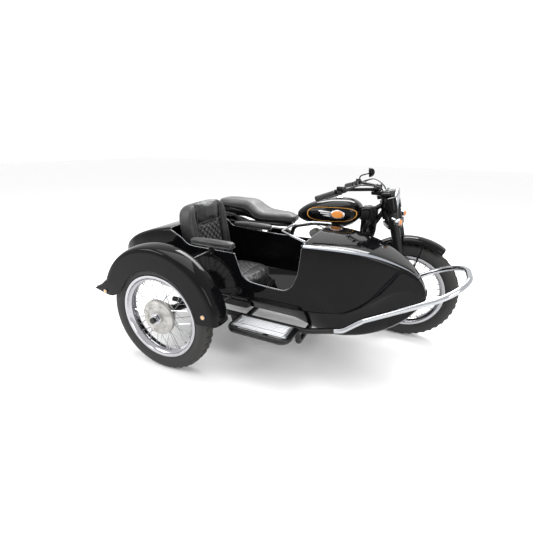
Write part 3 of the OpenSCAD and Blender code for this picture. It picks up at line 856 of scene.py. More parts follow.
@dataclass(frozen=True)
class Lens:
    """Coloured moulded lens with fine flutes."""

    name: str
    colour: Point

    def material(self) -> Material:
        """Makes the material."""
        s = Shader(self.name)
        _, y, _ = s.axes()
        flute = s.node("ShaderNodeMath", {"operation": "SINE"}, y * 2600.0)
        cloud = s.noise(90, 3, 0.5)
        return s.set(
            Base_Color=s.mix(cloud * 0.35, self.colour, tuple(min(c * 1.8 + 0.08, 1) for c in self.colour)),
            Roughness=0.12 + cloud * 0.08,
            Normal=s.bump(flute, 0.0006, 0.3),
            Coat_Weight=0.5,
        )


@dataclass(frozen=True)
class ClearGlass:
    """Headlamp glass: nearly clear, with upright flutes."""

    name: str = "lamp_glass"

    def material(self) -> Material:
        """Makes the material."""
        s = Shader(self.name)
        _, y, _ = s.axes()
        flute = s.node("ShaderNodeMath", {"operation": "SINE"}, y * 700.0)
        haze = s.noise(60, 4, 0.5)
        return s.set(
            Base_Color=s.mix(haze * 0.3, (0.75, 0.8, 0.84), (0.9, 0.92, 0.94)),
            Roughness=0.04 + haze * 0.06,
            Normal=s.bump(flute, 0.0012, 0.5),
            Alpha=0.32 + haze * 0.08,
            Coat_Weight=0.6,
        )


@dataclass(frozen=True)
class MirrorGlass:
    """Silvered glass with a few specks."""

    name: str = "mirror_face"

    def material(self) -> Material:
        """Makes the material."""
        s = Shader(self.name)
        speck = s.noise(300, 3, 0.6).step(0.6, 0.75)
        return s.set(
            Base_Color=s.mix(speck * 0.2, (0.86, 0.88, 0.9), (0.6, 0.6, 0.6)),
            Metallic=1.0,
            Roughness=0.02 + speck * 0.1,
        )


@dataclass(frozen=True)
class BadgeEnamel:
    """Fired enamel of one plain colour with a slight orange peel."""

    name: str
    colour: Point
    metal: float = 0.0

    def material(self) -> Material:
        """Makes the material."""
        s = Shader(self.name)
        peel = s.noise(260, 3, 0.5)
        return s.set(
            Base_Color=s.mix(peel * 0.3, self.colour, tuple(c * 0.7 for c in self.colour)),
            Roughness=0.18 + peel * 0.12,
            Metallic=self.metal,
            Normal=s.bump(peel, 0.0003, 0.3),
            Coat_Weight=0.5,
        )


@dataclass(frozen=True)
class Floor:
    """Pale studio floor."""

    name: str = "studio_floor"

    def material(self) -> Material:
        """Makes the material."""
        s = Shader(self.name)
        cloud = s.noise(0.8, 3, 0.5)
        return s.set(
            Base_Color=s.mix(cloud * 0.25, (0.97, 0.97, 0.97), (0.95, 0.95, 0.95)),
            Roughness=0.62,
            Specular_IOR_Level=0.25,
        )


class Paints:
    """Every material of the outfit, made once."""

    def __init__(self) -> None:
        """Makes the materials."""
        self.gloss = GlossPaint().material()
        self.tank = StripedPaint().material()
        self.frame = FramePaint().material()
        self.chrome = Chrome().material()
        self.bead = Chrome("bright_bead", (0.14, 0.143, 0.148), 0.2).material()
        self.rim = Chrome("rim_plate", (0.42, 0.42, 0.44), 0.12).material()
        # bluish plate of the shoulder strips: its tint and brightness are a painted highlight, a reflection of
        # the sky on the black shoulders
        self.strip = Chrome("shoulder_strip", (0.42, 0.44, 0.48), 0.22).material()
        self.alloy = CastAlloy().material()
        self.drum = CastAlloy("drum_alloy", (0.5, 0.49, 0.47), 0.5).material()
        self.step = BrushedPlate().material()
        self.hide = Leather().material()
        self.seat_hide = Leather("seat_vinyl", (0.022, 0.022, 0.023), 520, 0.36).material()
        self.rubber = SoftRubber().material()
        self.mat = SoftRubber("floor_mat", (0.012, 0.012, 0.012)).material()
        self.amber = Lens("amber_lens_skin", (0.75, 0.2, 0.02)).material()
        self.pearl = Lens("marker_lens_skin", (0.85, 0.36, 0.16)).material()
        self.red = Lens("red_lens_skin", (0.5, 0.01, 0.01)).material()
        self.glass = ClearGlass().material()
        self.mirror = MirrorGlass().material()
        self.badge = BadgeEnamel("badge_amber", (0.78, 0.27, 0.03)).material()
        self.silver = BadgeEnamel("badge_silver", (0.7, 0.7, 0.72), 0.8).material()
        self.gold = BadgeEnamel("badge_gold", (0.8, 0.5, 0.14), 0.7).material()
        self.dial = BadgeEnamel("dial_face", (0.6, 0.58, 0.5)).material()
        self.stage = Floor().material()


# ---------- camera, light and floor ----------


@dataclass
class Studio:
    """Pale floor, soft light and the camera at the viewing place."""

    eye: Point = (0.079, -2.365, 1.268)
    yaw: float = 0.4395
    pitch: float = 0.3485
    roll: float = 0.015
    focal_px: float = 341.0
    frame_px: float = 533.0

    def camera(self) -> None:
        """Makes the scene's camera."""
        clear_selection()
        bpy.ops.object.camera_add(location=HERE.at(*(c * 1000 for c in self.eye)))
        cam = bpy.context.object
        cy, sy = math.cos(self.yaw), math.sin(self.yaw)
        cp, sp = math.cos(self.pitch), math.sin(self.pitch)
        ahead = Vector((-sy * cp, cy * cp, -sp))
        right = Vector((cy, sy, 0))
        up = right.cross(ahead)
        cr, sr = math.cos(self.roll), math.sin(self.roll)
        side = right * cr + up * sr
        top = up * cr - right * sr
        cam.rotation_euler = Matrix((side, top, -ahead)).transposed().to_euler()
        cam.data.sensor_width = 36
        cam.data.lens = self.focal_px / self.frame_px * 36
        cam.data.clip_start, cam.data.clip_end = 0.05, 60
        cam.data.dof.use_dof = False
        bpy.context.scene.camera = cam

    def lamp(self, name: str, place: Point, target: Point, size: tuple[float, float], power: float) -> None:
        """Adds a soft rectangular lamp.

        Args:
            name: the lamp's name.
            place: where it stands, in metres.
            target: the point it faces.
            size: its width and height in metres.
            power: in watts.
        """
        clear_selection()
        bpy.ops.object.light_add(type="AREA", location=place)
        made = bpy.context.object
        made.name = name
        made.data.shape = "RECTANGLE"
        made.data.size, made.data.size_y = size
        made.data.energy = power
        made.rotation_euler = (Vector(place) - Vector(target)).to_track_quat("Z", "Y").to_euler()

    def light(self) -> None:
        """Makes the soft lamps and the pale surroundings."""
        self.lamp("overhead", (-0.4, 0.2, 3.6), (0, -0.2, 0), (3.2, 2.4), 90)
        self.lamp("key", (-2.6, -2.6, 2.6), (-0.2, -0.3, 0.4), (1.8, 1.4), 60)
        self.lamp("side", (3.0, -1.6, 1.9), (0.2, -0.1, 0.4), (1.4, 1.8), 34)
        self.lamp("back", (-0.5, 3.3, 3.5), (0, 0, 0.5), (3.2, 1.1), 140)
        world = bpy.data.worlds.new("surroundings")
        world.use_nodes = True
        backdrop = world.node_tree.nodes["Background"]
        backdrop.inputs[0].default_value = (1, 1, 1, 1)
        backdrop.inputs[1].default_value = 1.0
        bpy.context.scene.world = world
        bpy.context.scene.view_settings.view_transform = "Standard"

    def floor(self, paints: Paints) -> None:
        """Makes the floor, which isn't part of the object."""
        clear_selection()
        bpy.ops.mesh.primitive_plane_add(size=40, location=(0, 0, 0))
        ground = settle(bpy.context.object)
        ground.name = ground.data.name = "studio_ground"
        ground.data.materials.append(paints.stage)


# ---------- CAD nodes that stay ----------


@dataclass
class CarriedNodes:
    """CAD nodes whose own shape is right, with the finish each one gets."""

    paints: Paints

    def choices(self) -> dict[str, Material]:
        """Material for each node by its name."""
        p = self.paints
        table: dict[str, Material] = {}
        for group, look_of in (
            (("sidecar_floor", "sidecar_nose", "sidecar_deck", "sidecar_wall_right"), p.gloss),
            (("sidecar_wall_left", "sidecar_tail", "sidecar_mudguard", "headlamp"), p.gloss),
            (("side_boxes", "rear_mudguard", "chain_case", "front_mudguard", "rear_lamps"), p.gloss),
            (("fuel_tank",), p.tank),
            (("main_frame", "swing_arm", "sidecar_frame", "sidecar_axle", "footboard"), p.frame),
            (("fork_legs", "fork_yokes", "levers", "mirror", "centre_stand"), p.frame),
            (("rear_shocks", "exhaust", "foot_controls", "bumper", "coaming_rail"), p.chrome),
            (("handlebar", "front_indicators"), p.chrome),
            (("front_wheel", "rear_wheel", "side_wheel"), p.rim),
            (("crankcase", "cylinder"), p.alloy),
            (("rider_seat", "sidecar_cushion", "sidecar_backrest", "armrests"), p.hide),
            (("footrests", "grips", "front_tyre", "rear_tyre", "side_tyre"), p.rubber),
            (("marker_lamps",), p.amber),
        ):
            table.update({node: look_of for node in group})
        return table

    def dress(self) -> None:
        """Gives every node its material."""
        for node, look_of in self.choices().items():
            piece = frame["nodes"][node]
            piece.data.materials.clear()
            piece.data.materials.append(look_of)
            log.info("%s: carried over in %s", node, look_of.name)


# ---------- wheels ----------


@dataclass
class RoadWheel:
    """Wire wheel with a treaded tyre, a plated rim, laced spokes and a cast hub."""

    name: str
    body: Body
    hub: Vector
    drum_out: float
    drum_r: float
    paints: Paints
    tyre_r: float = 331.0
    half_w: float = 50.0
    rim_r: float = 246.0
    spokes: int = 36

    def local(self, x: float, y: float, z: float) -> Vector:
        """Point of the frame for millimetres from the hub."""
        return self.hub + Vector((x, y, z)) / 1000

    def tyre(self, node: str) -> Piece:
        """Tyre carcass spun from its section, with blocks raised on the crown.

        Args:
            node: the CAD node it stands for.

        Returns:
            The tyre.
        """
        r, w = self.tyre_r, self.half_w
        outer = [
            (self.rim_r - 2, w - 22), (self.rim_r + 6, w - 17), (self.rim_r + 20, w - 6),
            (self.rim_r + 40, w - 1), (r - 28, w - 3), (r - 14, w - 10), (r - 8.5, w - 20),
            (r - 5.6, w - 34), (r - 5, w - 50),
        ]
        profile = outer + [(a, -b) for a, b in reversed(outer[:-1])]
        profile += [(self.rim_r - 2, -12), (self.rim_r - 2, 12)]
        steps = 88
        piece = lathe(f"{self.name}_tyre", profile, Vector((0, 0, 0)), LEFT, steps)

        def on_crown(face: bmesh.types.BMFace, band: tuple[float, float], phase: float) -> bool:
            """Whether a face of the crown is to be raised."""
            c = face.calc_center_median()
            turn = (math.atan2(c.z, c.x) / math.tau * steps + phase) % 2
            return band[0] < abs(c.y) * 1000 < band[1] and math.hypot(c.x, c.z) * 1000 > r - 13 and turn < 1

        for band, phase, height in (((0, 8), 0.0, 0.0044), ((8, 25), 1.0, 0.0046), ((25, 34), 0.0, 0.004)):
            with editing(piece) as edit:
                pick(piece, edit, "FACE", lambda f: on_crown(f, band, phase))
                bpy.ops.mesh.inset(thickness=0.0012, depth=0.0, use_individual=True)
                bpy.ops.mesh.inset(thickness=0.0009, depth=height, use_individual=True)
        piece.data.transform(Matrix.Translation(self.hub))
        smooth(piece, 38)
        look_of = TyreRubber(f"{self.name}_rubber", tuple(self.hub)).material()
        return finish_piece(piece, self.body, look_of, [node])

    def rim(self) -> Piece:
        """Plated rim with rolled flanges and a well."""
        r = self.rim_r
        half = [
            (r - 26, 0), (r - 25.5, 10), (r - 22, 16), (r - 15, 21), (r - 9, 27), (r - 7, 31),
            (r - 1, 33.5), (r + 3.5, 34.5), (r + 5, 36.6), (r + 3, 38.6), (r - 1, 38.4),
            (r - 11, 35), (r - 14, 28), (r - 21, 22), (r - 28, 18), (r - 31.5, 10), (r - 32, 0),
        ]
        inner = half[9:]
        profile = half[:9] + inner[:-1] + [(inner[-1][0], 0)]
        profile += [(a, -b) for a, b in reversed(inner[:-1])] + [(a, -b) for a, b in reversed(half[1:9])]
        return lathe(f"{self.name}_rim", profile, self.hub, LEFT, 96)

    def spoke_set(self) -> Piece:
        """Laced spokes with their nipples, crossing from both hub flanges."""
        made = []
        for i in range(self.spokes):
            side = 1 if i % 2 else -1
            lean = 1 if (i // 2) % 2 else -1
            a = math.tau * i / self.spokes
            b = a + lean * 0.62
            start = self.local(58 * math.cos(b), side * 30, 58 * math.sin(b))
            end = self.local((self.rim_r - 31) * math.cos(a), side * 7, (self.rim_r - 31) * math.sin(a))
            made.append(tube("spoke", [start, start.lerp(end, 0.93)], 0.0019, 0))
            made.append(tube("nipple", [start.lerp(end, 0.92), end], 0.0032, 1))
        return join(f"{self.name}_spokes", made)

    def hub_casting(self) -> Piece:
        """Hub with two flanges, a brake drum and a stepped cover."""
        s, d = self.drum_out, self.drum_r
        barrel = [
            (10.6, -50), (24, -50), (27, -46), (27, -36), (64, -35), (64, -27), (30, -25), (28, 0),
            (30, 25), (64, 27), (64, 35), (27, 36), (27, 46), (24, 50), (10.6, 50),
        ]
        drum = [
            (12, 44), (30, 47), (33, 44), (d * 0.62, 42), (d * 0.66, 46), (d * 0.86, 46),
            (d * 0.9, 42), (d - 2, 40), (d, 37), (d, 20), (d - 6, 16), (30, 16), (12, 18),
        ]
        parts = [
            lathe("barrel", barrel, self.hub, LEFT, 64),
            lathe("drum", drum, self.hub, Vector((0, s, 0)), 96),
        ]
        for k in range(8):
            a = math.tau * (k + 0.5) / 8
            place = self.local(d * 0.76 * math.cos(a), s * 46, d * 0.76 * math.sin(a))
            parts.append(hex_bolt("stud", place, Vector((0, s, 0)), 3.4))
        return join(f"{self.name}_hub", parts)

    def build(self, tyre_node: str, wheel_node: str) -> None:
        """Builds and dresses the wheel.

        Args:
            tyre_node: CAD node of the tyre.
            wheel_node: CAD node of the rim, spokes and hub.
        """
        self.tyre(tyre_node)
        finish_piece(self.rim(), self.body, self.paints.rim, [wheel_node])
        finish_piece(self.spoke_set(), self.body, self.paints.chrome)
        finish_piece(self.hub_casting(), self.body, self.paints.drum)


# ---------- sidecar body ----------


@dataclass
class SidecarTub:
    """Boat-nosed body: one smooth skin with a cockpit cut out of it, a deck, bright beading and shoulder strips
    that are a painted highlight.
    """

    paints: Paints
    half: float = 275.0
    belt: float = 425.0
    belly: float = 212.0
    pan: float = 292.0
    deck: float = 782.0
    panel: float = 9.0
    tail_x: float = -1790.0
    nose_x: float = 146.0
    rear: float = -1300.0
    front: float = -465.0
    door_z: float = 520.0
    door_len: float = 390.0

    def half_at(self, x: float) -> float:
        """Half the body's width at x."""
        h = self.half
        table = [
            (self.tail_x, 150), (-1740, 218), (-1640, 262), (-1560, h - 3), (-1500, h), (-1440, h),
            (-640, h), (-560, h), (-480, h - 3), (-330, h - 30), (-160, h - 88), (-20, h - 158),
            (90, h - 222), (self.nose_x, h - 252),
        ]
        return look(table, x)

    def roof_at(self, x: float) -> float:
        """Height of the roof or deck at x."""
        d = self.deck
        table = [
            (self.tail_x, 510), (-1760, 570), (-1700, 636), (-1600, 698), (-1500, 736), (-1400, 762),
            (-1300, 778), (-900, 790), (-465, d), (-380, d - 1), (-278, d - 7), (-190, d - 20),
            (-104, d - 42), (13, d - 94), (75, d - 136), (120, d - 194), (self.nose_x, d - 246),
        ]
        return look(table, x)

    def belt_at(self, x: float) -> float:
        """Height of the crease between side and belly at x."""
        b = self.belt
        table = [
            (self.tail_x, 450), (-1640, 428), (-1400, b), (-1300, b), (-290, b), (-226, b + 4),
            (-125, b + 56), (-21, b + 118), (50, b + 128), (110, b + 112), (self.nose_x, b + 100),
        ]
        return look(table, x)

    def keel_at(self, x: float) -> float:
        """Height of the keel at x."""
        k = self.belly
        table = [
            (self.tail_x, 400), (-1700, 336), (-1560, 304), (-1400, self.pan), (-1300, self.pan),
            (-540, self.pan), (-450, self.pan - 26), (-360, k + 26), (-290, k + 16), (-220, k + 22),
            (-120, k + 46), (-20, k + 92), (60, k + 152), (115, k + 224),
            (self.nose_x, k + 282),
        ]
        return look(table, x)

    def ring(self, x: float, shrink: float = 0.0) -> list[Vector]:
        """Outline of the body at x, in the frame.

        Args:
            x: plan millimetres.
            shrink: how far it is drawn in towards its middle, to round the two ends.

        Returns:
            Places round the section.
        """
        w, top = max(self.half_at(x) - shrink, 6), self.roof_at(x) - shrink
        keel = self.keel_at(x) + shrink
        belt = min(max(self.belt_at(x), keel + 10), top - 10)
        deep = belt - keel
        turn = min(26, w * 0.35, (top - belt) * 0.45)
        foot = w * 0.5
        heel = min(20, foot * 0.4)
        crown = min(5, w * 0.03)
        side = [(w * 0.25, top + crown * 0.94), (w * 0.6, top + crown * 0.62), (w - turn * 1.6, top + 2)]
        side += [(w - turn + turn * math.sin(a), top - turn + turn * math.cos(a))
                 for a in (math.radians(d) for d in (0, 15, 30, 45, 60, 75, 90))]
        side += [(w, belt + (top - belt) * f) for f in (0.72, 0.5, 0.3, 0.12)]
        side += [(w, belt + 2), (w - min(3, w * 0.03), belt - min(5, deep * 0.1))]
        side += [(w - min(9, w * 0.06), belt - min(14, deep * 0.22))]
        side += [(w + (foot - w) * f, belt + (keel - belt) * f) for f in (0.38, 0.62)]
        side += [(foot + 12, keel + min(20, deep * 0.24)), (foot, keel + min(7, deep * 0.1))]
        side += [(foot - heel, keel), (foot * 0.4, keel)]
        left = [(-a, b) for a, b in reversed(side)]
        whole = [(0, top + crown)] + side + [(0, keel)] + left
        return [HERE.at(x, BODY_Y - a, b) for a, b in whole]

    def skin_piece(self, name: str) -> Piece:
        """The whole closed skin, rounded at tail and nose, with its wall thickness."""
        rings = []
        for k in range(9):
            a = math.pi / 2 * k / 8
            rings.append(self.ring(self.tail_x + 1.2 + 38 * (1 - math.cos(a)), 38 * (1 - math.sin(a))))
        x = self.tail_x + 45
        while x < self.nose_x - 20:
            rings.append(self.ring(x))
            x += 9 if x > -140 or x < -1560 else 17
        for k in range(7):
            a = math.pi / 2 * k / 6
            rings.append(self.ring(self.nose_x - 14 + 14 * math.sin(a), 14 * (1 - math.cos(a))))
        piece = cap_ends(skin(name, rings, True))
        return apply(piece, "SOLIDIFY", thickness=self.panel / 1000, offset=-1, use_even_offset=False)

    def door_line(self) -> list[tuple[float, float]]:
        """Upper edge of the right wall as (x, z)."""
        f = self.front - 10
        b = f - self.door_len
        z = self.door_z
        return [
            (self.rear, 764), (-1230, 728), (-1170, 690), (-1050, 684), (b - 10, 680), (b + 10, 668),
            (b + 42, z + 66), (b + 62, z + 30), (b + 100, z + 8), (b + 160, z), (f - 100, z - 6),
            (f - 62, z + 4), (f - 30, z + 34), (f - 8, z + 90), (f, z + 130), (self.front, self.deck - 20),
        ]

    def left_line(self) -> list[tuple[float, float]]:
        """Upper edge of the left wall as (x, z)."""
        return [
            (self.rear, 764), (-1230, 728), (-1170, 690), (-950, 676), (-620, 672), (-540, 690),
            (-490, 730), (self.front, self.deck - 20),
        ]

    def cutter(self, line: Sequence[tuple[float, float]], near: float, far: float) -> Piece:
        """Block above an edge line, between two places across the body."""
        curve = [(p.x, p.y) for p in flow(line, 6)] + [(self.front, 1100), (self.rear, 1100)]
        rows = [[HERE.at(x, y, z) for x, z in curve] for y in (near, far)]
        return cap_ends(skin("cutter", rows, True))

    def shell(self) -> Piece:
        """Skin with the cockpit cut out of it."""
        piece = self.skin_piece("sidecar_shell")
        for line, near, far in (
            (self.door_line(), BODY_Y - 420, BODY_Y),
            (self.left_line(), BODY_Y - 0.01, BODY_Y + 420),
        ):
            tool = self.cutter(line, near, far)
            apply(piece, "BOOLEAN", operation="DIFFERENCE", solver="EXACT", object=tool)
            clear_selection()
            bpy.data.objects.remove(tool)
        return smooth(piece, 32)

    def edge_beads(self) -> Piece:
        """Bright beading round the four edges of the cockpit."""
        made = []
        for line, s in ((self.door_line(), -1), (self.left_line(), 1)):
            path = [
                HERE.at(p.x, BODY_Y + s * (self.half_at(p.x) - 4.5), p.y + 1)
                for p in flow([Vector(q) for q in line], 5)
            ]
            made.append(tube("bead", path, 0.0042, 3))
        for x in (self.front, self.rear):
            row = []
            for k in range(25):
                a = -1 + k / 12
                row.append(
                    HERE.at(x, BODY_Y + a * (self.half - 8), self.roof_at(x) + 5 * (1 - a * a) - 2)
                )
            made.append(tube("bead", row, 0.0045, 3))
        return join("sidecar_beading", made)

    def shoulder_strips(self) -> Piece:
        """Bright bluish strips along both shoulders of the deck, fading to a point at the nose: a painted
        highlight, thin sheets laid where the black shoulders reflect the sky.
        """
        made = []
        for s in (-1, 1):
            rows = []
            for k in range(64):
                x = self.front + 2 + k * 9
                w = self.half_at(x)
                turn = min(26, w * 0.35, (self.roof_at(x) - self.belt_at(x)) * 0.45)
                thin = min(1, (64 - k) / 40)
                row = []
                for j in range(7):
                    a = math.radians(30 + (j / 6 - 0.5) * 58 * thin)
                    y = w - turn + (turn + 0.9) * math.sin(a)
                    row.append(
                        HERE.at(x, BODY_Y + s * y, self.roof_at(x) - turn + (turn + 0.9) * math.cos(a))
                    )
                rows.append(row)
            # each strip is a thin bright sheet standing in for the highlight on the shoulder's turn
            made.append(apply(skin("strip", rows), "SOLIDIFY", thickness=0.0012, offset=0))
        return smooth(tidy(join("shoulder_strips", made), 0.00001), 50)

    def deck_hatch(self) -> Piece:
        """Raised deck panel between the two shoulder strips of painted highlight."""
        rows = []
        for k in range(56):
            x = self.front + 6 + k * 9.6
            w = self.half_at(x) - 20
            row = []
            for j in range(25):
                a = -1 + j / 12
                lift = 2.6 * (1 - abs(a) ** 8)
                z = self.roof_at(x) + 5 * min(1, w / 200) * (1 - a * a) + lift + 0.6
                row.append(HERE.at(x, BODY_Y + a * w, z))
            rows.append(row)
        piece = apply(skin("sidecar_hatch", rows), "SOLIDIFY", thickness=0.003, offset=0)
        return smooth(outward(piece), 40)

    def lining(self) -> Piece:
        """Ribbed rubber mat on the cockpit floor."""
        piece = block("sidecar_mat", HERE.at(-622, BODY_Y, self.pan + self.panel + 5), (350, 246, 7), 2)
        with editing(piece) as edit:
            pick(piece, edit, "FACE", lambda f: f.normal.z > 0.95 and f.calc_area() > 0.02)
            bpy.ops.mesh.subdivide(number_cuts=15)
        with editing(piece) as edit:
            lo = HERE.at(-622 - 175, 0, 0).x
            pick(
                piece, edit, "FACE",
                lambda f: f.normal.z > 0.95 and int((f.calc_center_median().x - lo) / 0.0109) % 2 == 0,
            )
            bpy.ops.mesh.inset(thickness=0.0006, depth=0.0022)
        return piece

    def bench(self) -> Piece:
        """Upholstered box that the cushion lies on, with a kick board in front."""
        rings = []
        for x, w, low in (
            (-1286, 196, 322), (-1100, 208, 314), (-900, 208, 312), (-826, 206, 312), (-812, 200, 316)
        ):
            middle, tall = (low + CUSHION_BED_Z) / 2, (CUSHION_BED_Z - low) / 2
            rings.append([HERE.at(x, BODY_Y + a, middle + b) for a, b in oval(w, tall, 0.25, 40)])
        return smooth(loft("sidecar_bench", rings), 40)

    def build(self) -> None:
        """Builds and dresses the body."""
        p = self.paints
        finish_piece(self.bench(), Body.OUTFIT, p.hide)
        nodes = [
            "sidecar_floor", "sidecar_nose", "sidecar_deck", "sidecar_wall_right", "sidecar_wall_left",
            "sidecar_tail"
        ]
        finish_piece(self.shell(), Body.OUTFIT, p.gloss, nodes)
        finish_piece(self.deck_hatch(), Body.OUTFIT, p.gloss)
        finish_piece(self.edge_beads(), Body.OUTFIT, p.bead)
        # the shoulder strips are a painted highlight, not real trim
        finish_piece(self.shoulder_strips(), Body.OUTFIT, p.strip)
        finish_piece(self.lining(), Body.OUTFIT, p.mat)


@dataclass
class SidecarGuard:
    """Sidecar mudguard: a deep outer skirt, a rounded crown and a flared tail."""

    paints: Paints
    x: float = SIDE_X + 16
    z: float = 351.0
    r: float = 405.0
    half: float = 70.0

    def place(self, a: float, b: float, h: float) -> Vector:
        """Point of the frame, for plan millimetres from the guard's middle."""
        return HERE.at(self.x + a, TRACK_Y - h, self.z + b)

    def section(self) -> list[tuple[float, float]]:
        """Smooth section as (radius, offset outwards), from skirt to inner edge."""
        r, y = self.r, self.half
        points = [
            (270, y - 4), (300, y - 3), (r - 60, y - 1.5), (r - 30, y - 1), (r - 14, y - 8), (r - 5, y - 32),
            (r - 1, 0), (r - 5, -y + 34), (r - 19, -y + 11), (r - 32, -y + 3), (r - 46, -y + 2),
        ]
        return [(p.x, p.y) for p in flow(points, 5)]

    def shell(self) -> Piece:
        """The guard's sheet with its tail, thickened."""
        line = self.section()
        rows = []
        for k in range(77):
            a = math.radians(5 + 2 * k)
            rows.append([self.place(r * math.cos(a), r * math.sin(a), h) for r, h in line])
        a = math.radians(157)
        last = [(r * math.cos(a), r * math.sin(a), h) for r, h in line]
        top = Vector((self.r * math.cos(a), self.r * math.sin(a)))
        for k in range(1, 15):
            t = k / 14
            tip = top + Vector((-90 * t, -90 * t + 26 * t * t))
            low = Vector(
                (look([(0, -248), (0.5, -330), (1, -452)], t), look([(0, 105), (0.5, 62), (1, 84)], t))
            )
            row = []
            for (px, pz, h), (r, _) in zip(last, line):
                if h > self.half - 12 and r < self.r - 10:
                    f = (r - 270) / (self.r - 14 - 270)
                    q = low.lerp(tip + Vector((8, -4)), max(0, min(1, f)))
                else:
                    f = 1.0
                    fall = (self.r - r) * (1 - 0.7 * t)
                    q = tip + Vector((fall * 0.8, -fall * 0.35))
                row.append(self.place(q.x, q.y, h))
            rows.append(row)
        piece = skin("sidecar_guard", rows)
        apply(piece, "SOLIDIFY", thickness=0.0036, offset=0)
        return smooth(outward(piece), 50)

    def rolled_edges(self) -> Piece:
        """Wired edges along the skirt and the inner rim."""
        first, last = self.section()[0], self.section()[-1]
        made = []
        for r, h in (first, last):
            path = [
                self.place(r * math.cos(math.radians(a)), r * math.sin(math.radians(a)), h)
                for a in range(6, 157, 3)
            ]
            made.append(tube("wire", path, 0.0034, 2))
        return join("sidecar_guard_edges", made)

    def stays(self) -> Piece:
        """Struts that hold the guard to the body, with a round plate and a bolt where each meets the body."""
        made = []
        for a in (18, 62, 128):
            c = self.r - 33
            b = math.radians(a)
            x, z = self.x + c * math.cos(b), self.z + c * math.sin(b)
            y0, y1 = TRACK_Y + self.half - 7, BODY_Y - 275.3
            made.append(tube("stay", [HERE.at(x, y0, z), HERE.at(x, y1, z)], 0.008, 3))
            made.append(hex_bolt("bolt", HERE.at(x, y1 - 9, z), RIGHT, 7))
            clear_selection()
            bpy.ops.mesh.primitive_cylinder_add(
                vertices=28, radius=0.02, depth=0.006, location=HERE.at(x, y1 - 3.2, z),
                rotation=(math.pi / 2, 0, 0),
            )
            made.append(smooth(bevel(settle(bpy.context.object), 0.0015), 30))
        return join("sidecar_guard_stays", made)

    def lamps(self) -> None:
        """Two small marker lamps on the skirt, each with a bright ring."""
        rings, lenses = [], []
        y = TRACK_Y - self.half - 1
        for dx, dz in ((-370, 84), (318, 78)):
            c = HERE.at(self.x + dx, y, self.z + dz)
            rings.append(
                lathe("ring", [(9, -1), (13, -1), (14.5, 2), (13, 5), (10.5, 5), (9, 3)], c, RIGHT, 36)
            )
            lenses.append(
                lathe("lens", [(0.05, 0), (11, 0), (10.6, 4), (8, 7), (4, 8.6), (0.05, 9)], c, RIGHT, 32)
            )
        finish_piece(join("marker_rings", rings), Body.OUTFIT, self.paints.bead)
        finish_piece(
            join("marker_lenses", lenses), Body.OUTFIT, self.paints.pearl, ["marker_lamps"]
        )

    def build(self) -> None:
        """Builds and dresses the mudguard."""
        p = self.paints
        finish_piece(self.shell(), Body.OUTFIT, p.gloss, ["sidecar_mudguard"])
        finish_piece(self.rolled_edges(), Body.OUTFIT, p.gloss)
        finish_piece(self.stays(), Body.OUTFIT, p.frame)
        self.lamps()


# ---------- upholstery ----------


def oval(half_u: float, half_v: float, power: float = 0.6, steps: int = 28) -> list[tuple[float, float]]:
    """Rounded closed outline about zero, squarer as the power falls."""
    out = []
    for k in range(steps):
        c, s = math.cos(math.tau * k / steps), math.sin(math.tau * k / steps)
        out.append((math.copysign(abs(c) ** power, c) * half_u, math.copysign(abs(s) ** power, s) * half_v))
    return out


def loft(name: str, rings: Rows) -> Piece:
    """Closed solid through rings of places."""
    return cap_ends(skin(name, rings, True))


def inflate(piece: Piece, cap: float, voxel: float = 0.006) -> Piece:
    """Stuffs a pad: an even mesh, air pressure under cloth, and a limit on the swelling.

    Args:
        piece: the closed form, slightly smaller than the finished pad.
        cap: how far a point may move, in metres.
        voxel: size of the even mesh's squares, in metres.

    Returns:
        The same piece.
    """
    apply(piece, "REMESH", mode="VOXEL", voxel_size=voxel, use_smooth_shade=True)
    before = np.empty(len(piece.data.vertices) * 3, np.float32)
    piece.data.vertices.foreach_get("co", before)
    grab(piece)
    cloth = piece.modifiers.new("Stuffing", "CLOTH")
    cloth.settings.use_pressure = True
    cloth.settings.uniform_pressure_force = 4
    cloth.settings.effector_weights.gravity = 0
    cloth.point_cache.frame_start, cloth.point_cache.frame_end = 1, 20
    for moment in range(1, 21):
        bpy.context.scene.frame_set(moment)
    bpy.ops.object.modifier_apply(modifier=cloth.name)
    bpy.context.scene.frame_set(1)
    after = np.empty_like(before)
    piece.data.vertices.foreach_get("co", after)
    move = (after - before).reshape(-1, 3)
    far = np.linalg.norm(move, axis=1, keepdims=True)
    move *= np.minimum(1, cap / np.maximum(far, 1e-9))
    piece.data.vertices.foreach_set("co", (before.reshape(-1, 3) + move).ravel())
    piece.data.update()
    return piece


def push(piece: Piece, shift: Callable[[Vector], Vector]) -> None:
    """Moves every vertex of a piece by a function of its place."""
    for v in piece.data.vertices:
        v.co += shift(v.co)
    piece.data.update()


def quilt(a: float, b: float, pitch: float) -> float:
    """Depth of diamond stitching at two coordinates: 1 on a seam, 0 on a puff."""
    s = abs(math.sin(math.pi * (a + b) / pitch)) * abs(math.sin(math.pi * (a - b) / pitch))
    return 1 - min(1, s * 1.5) ** 0.5


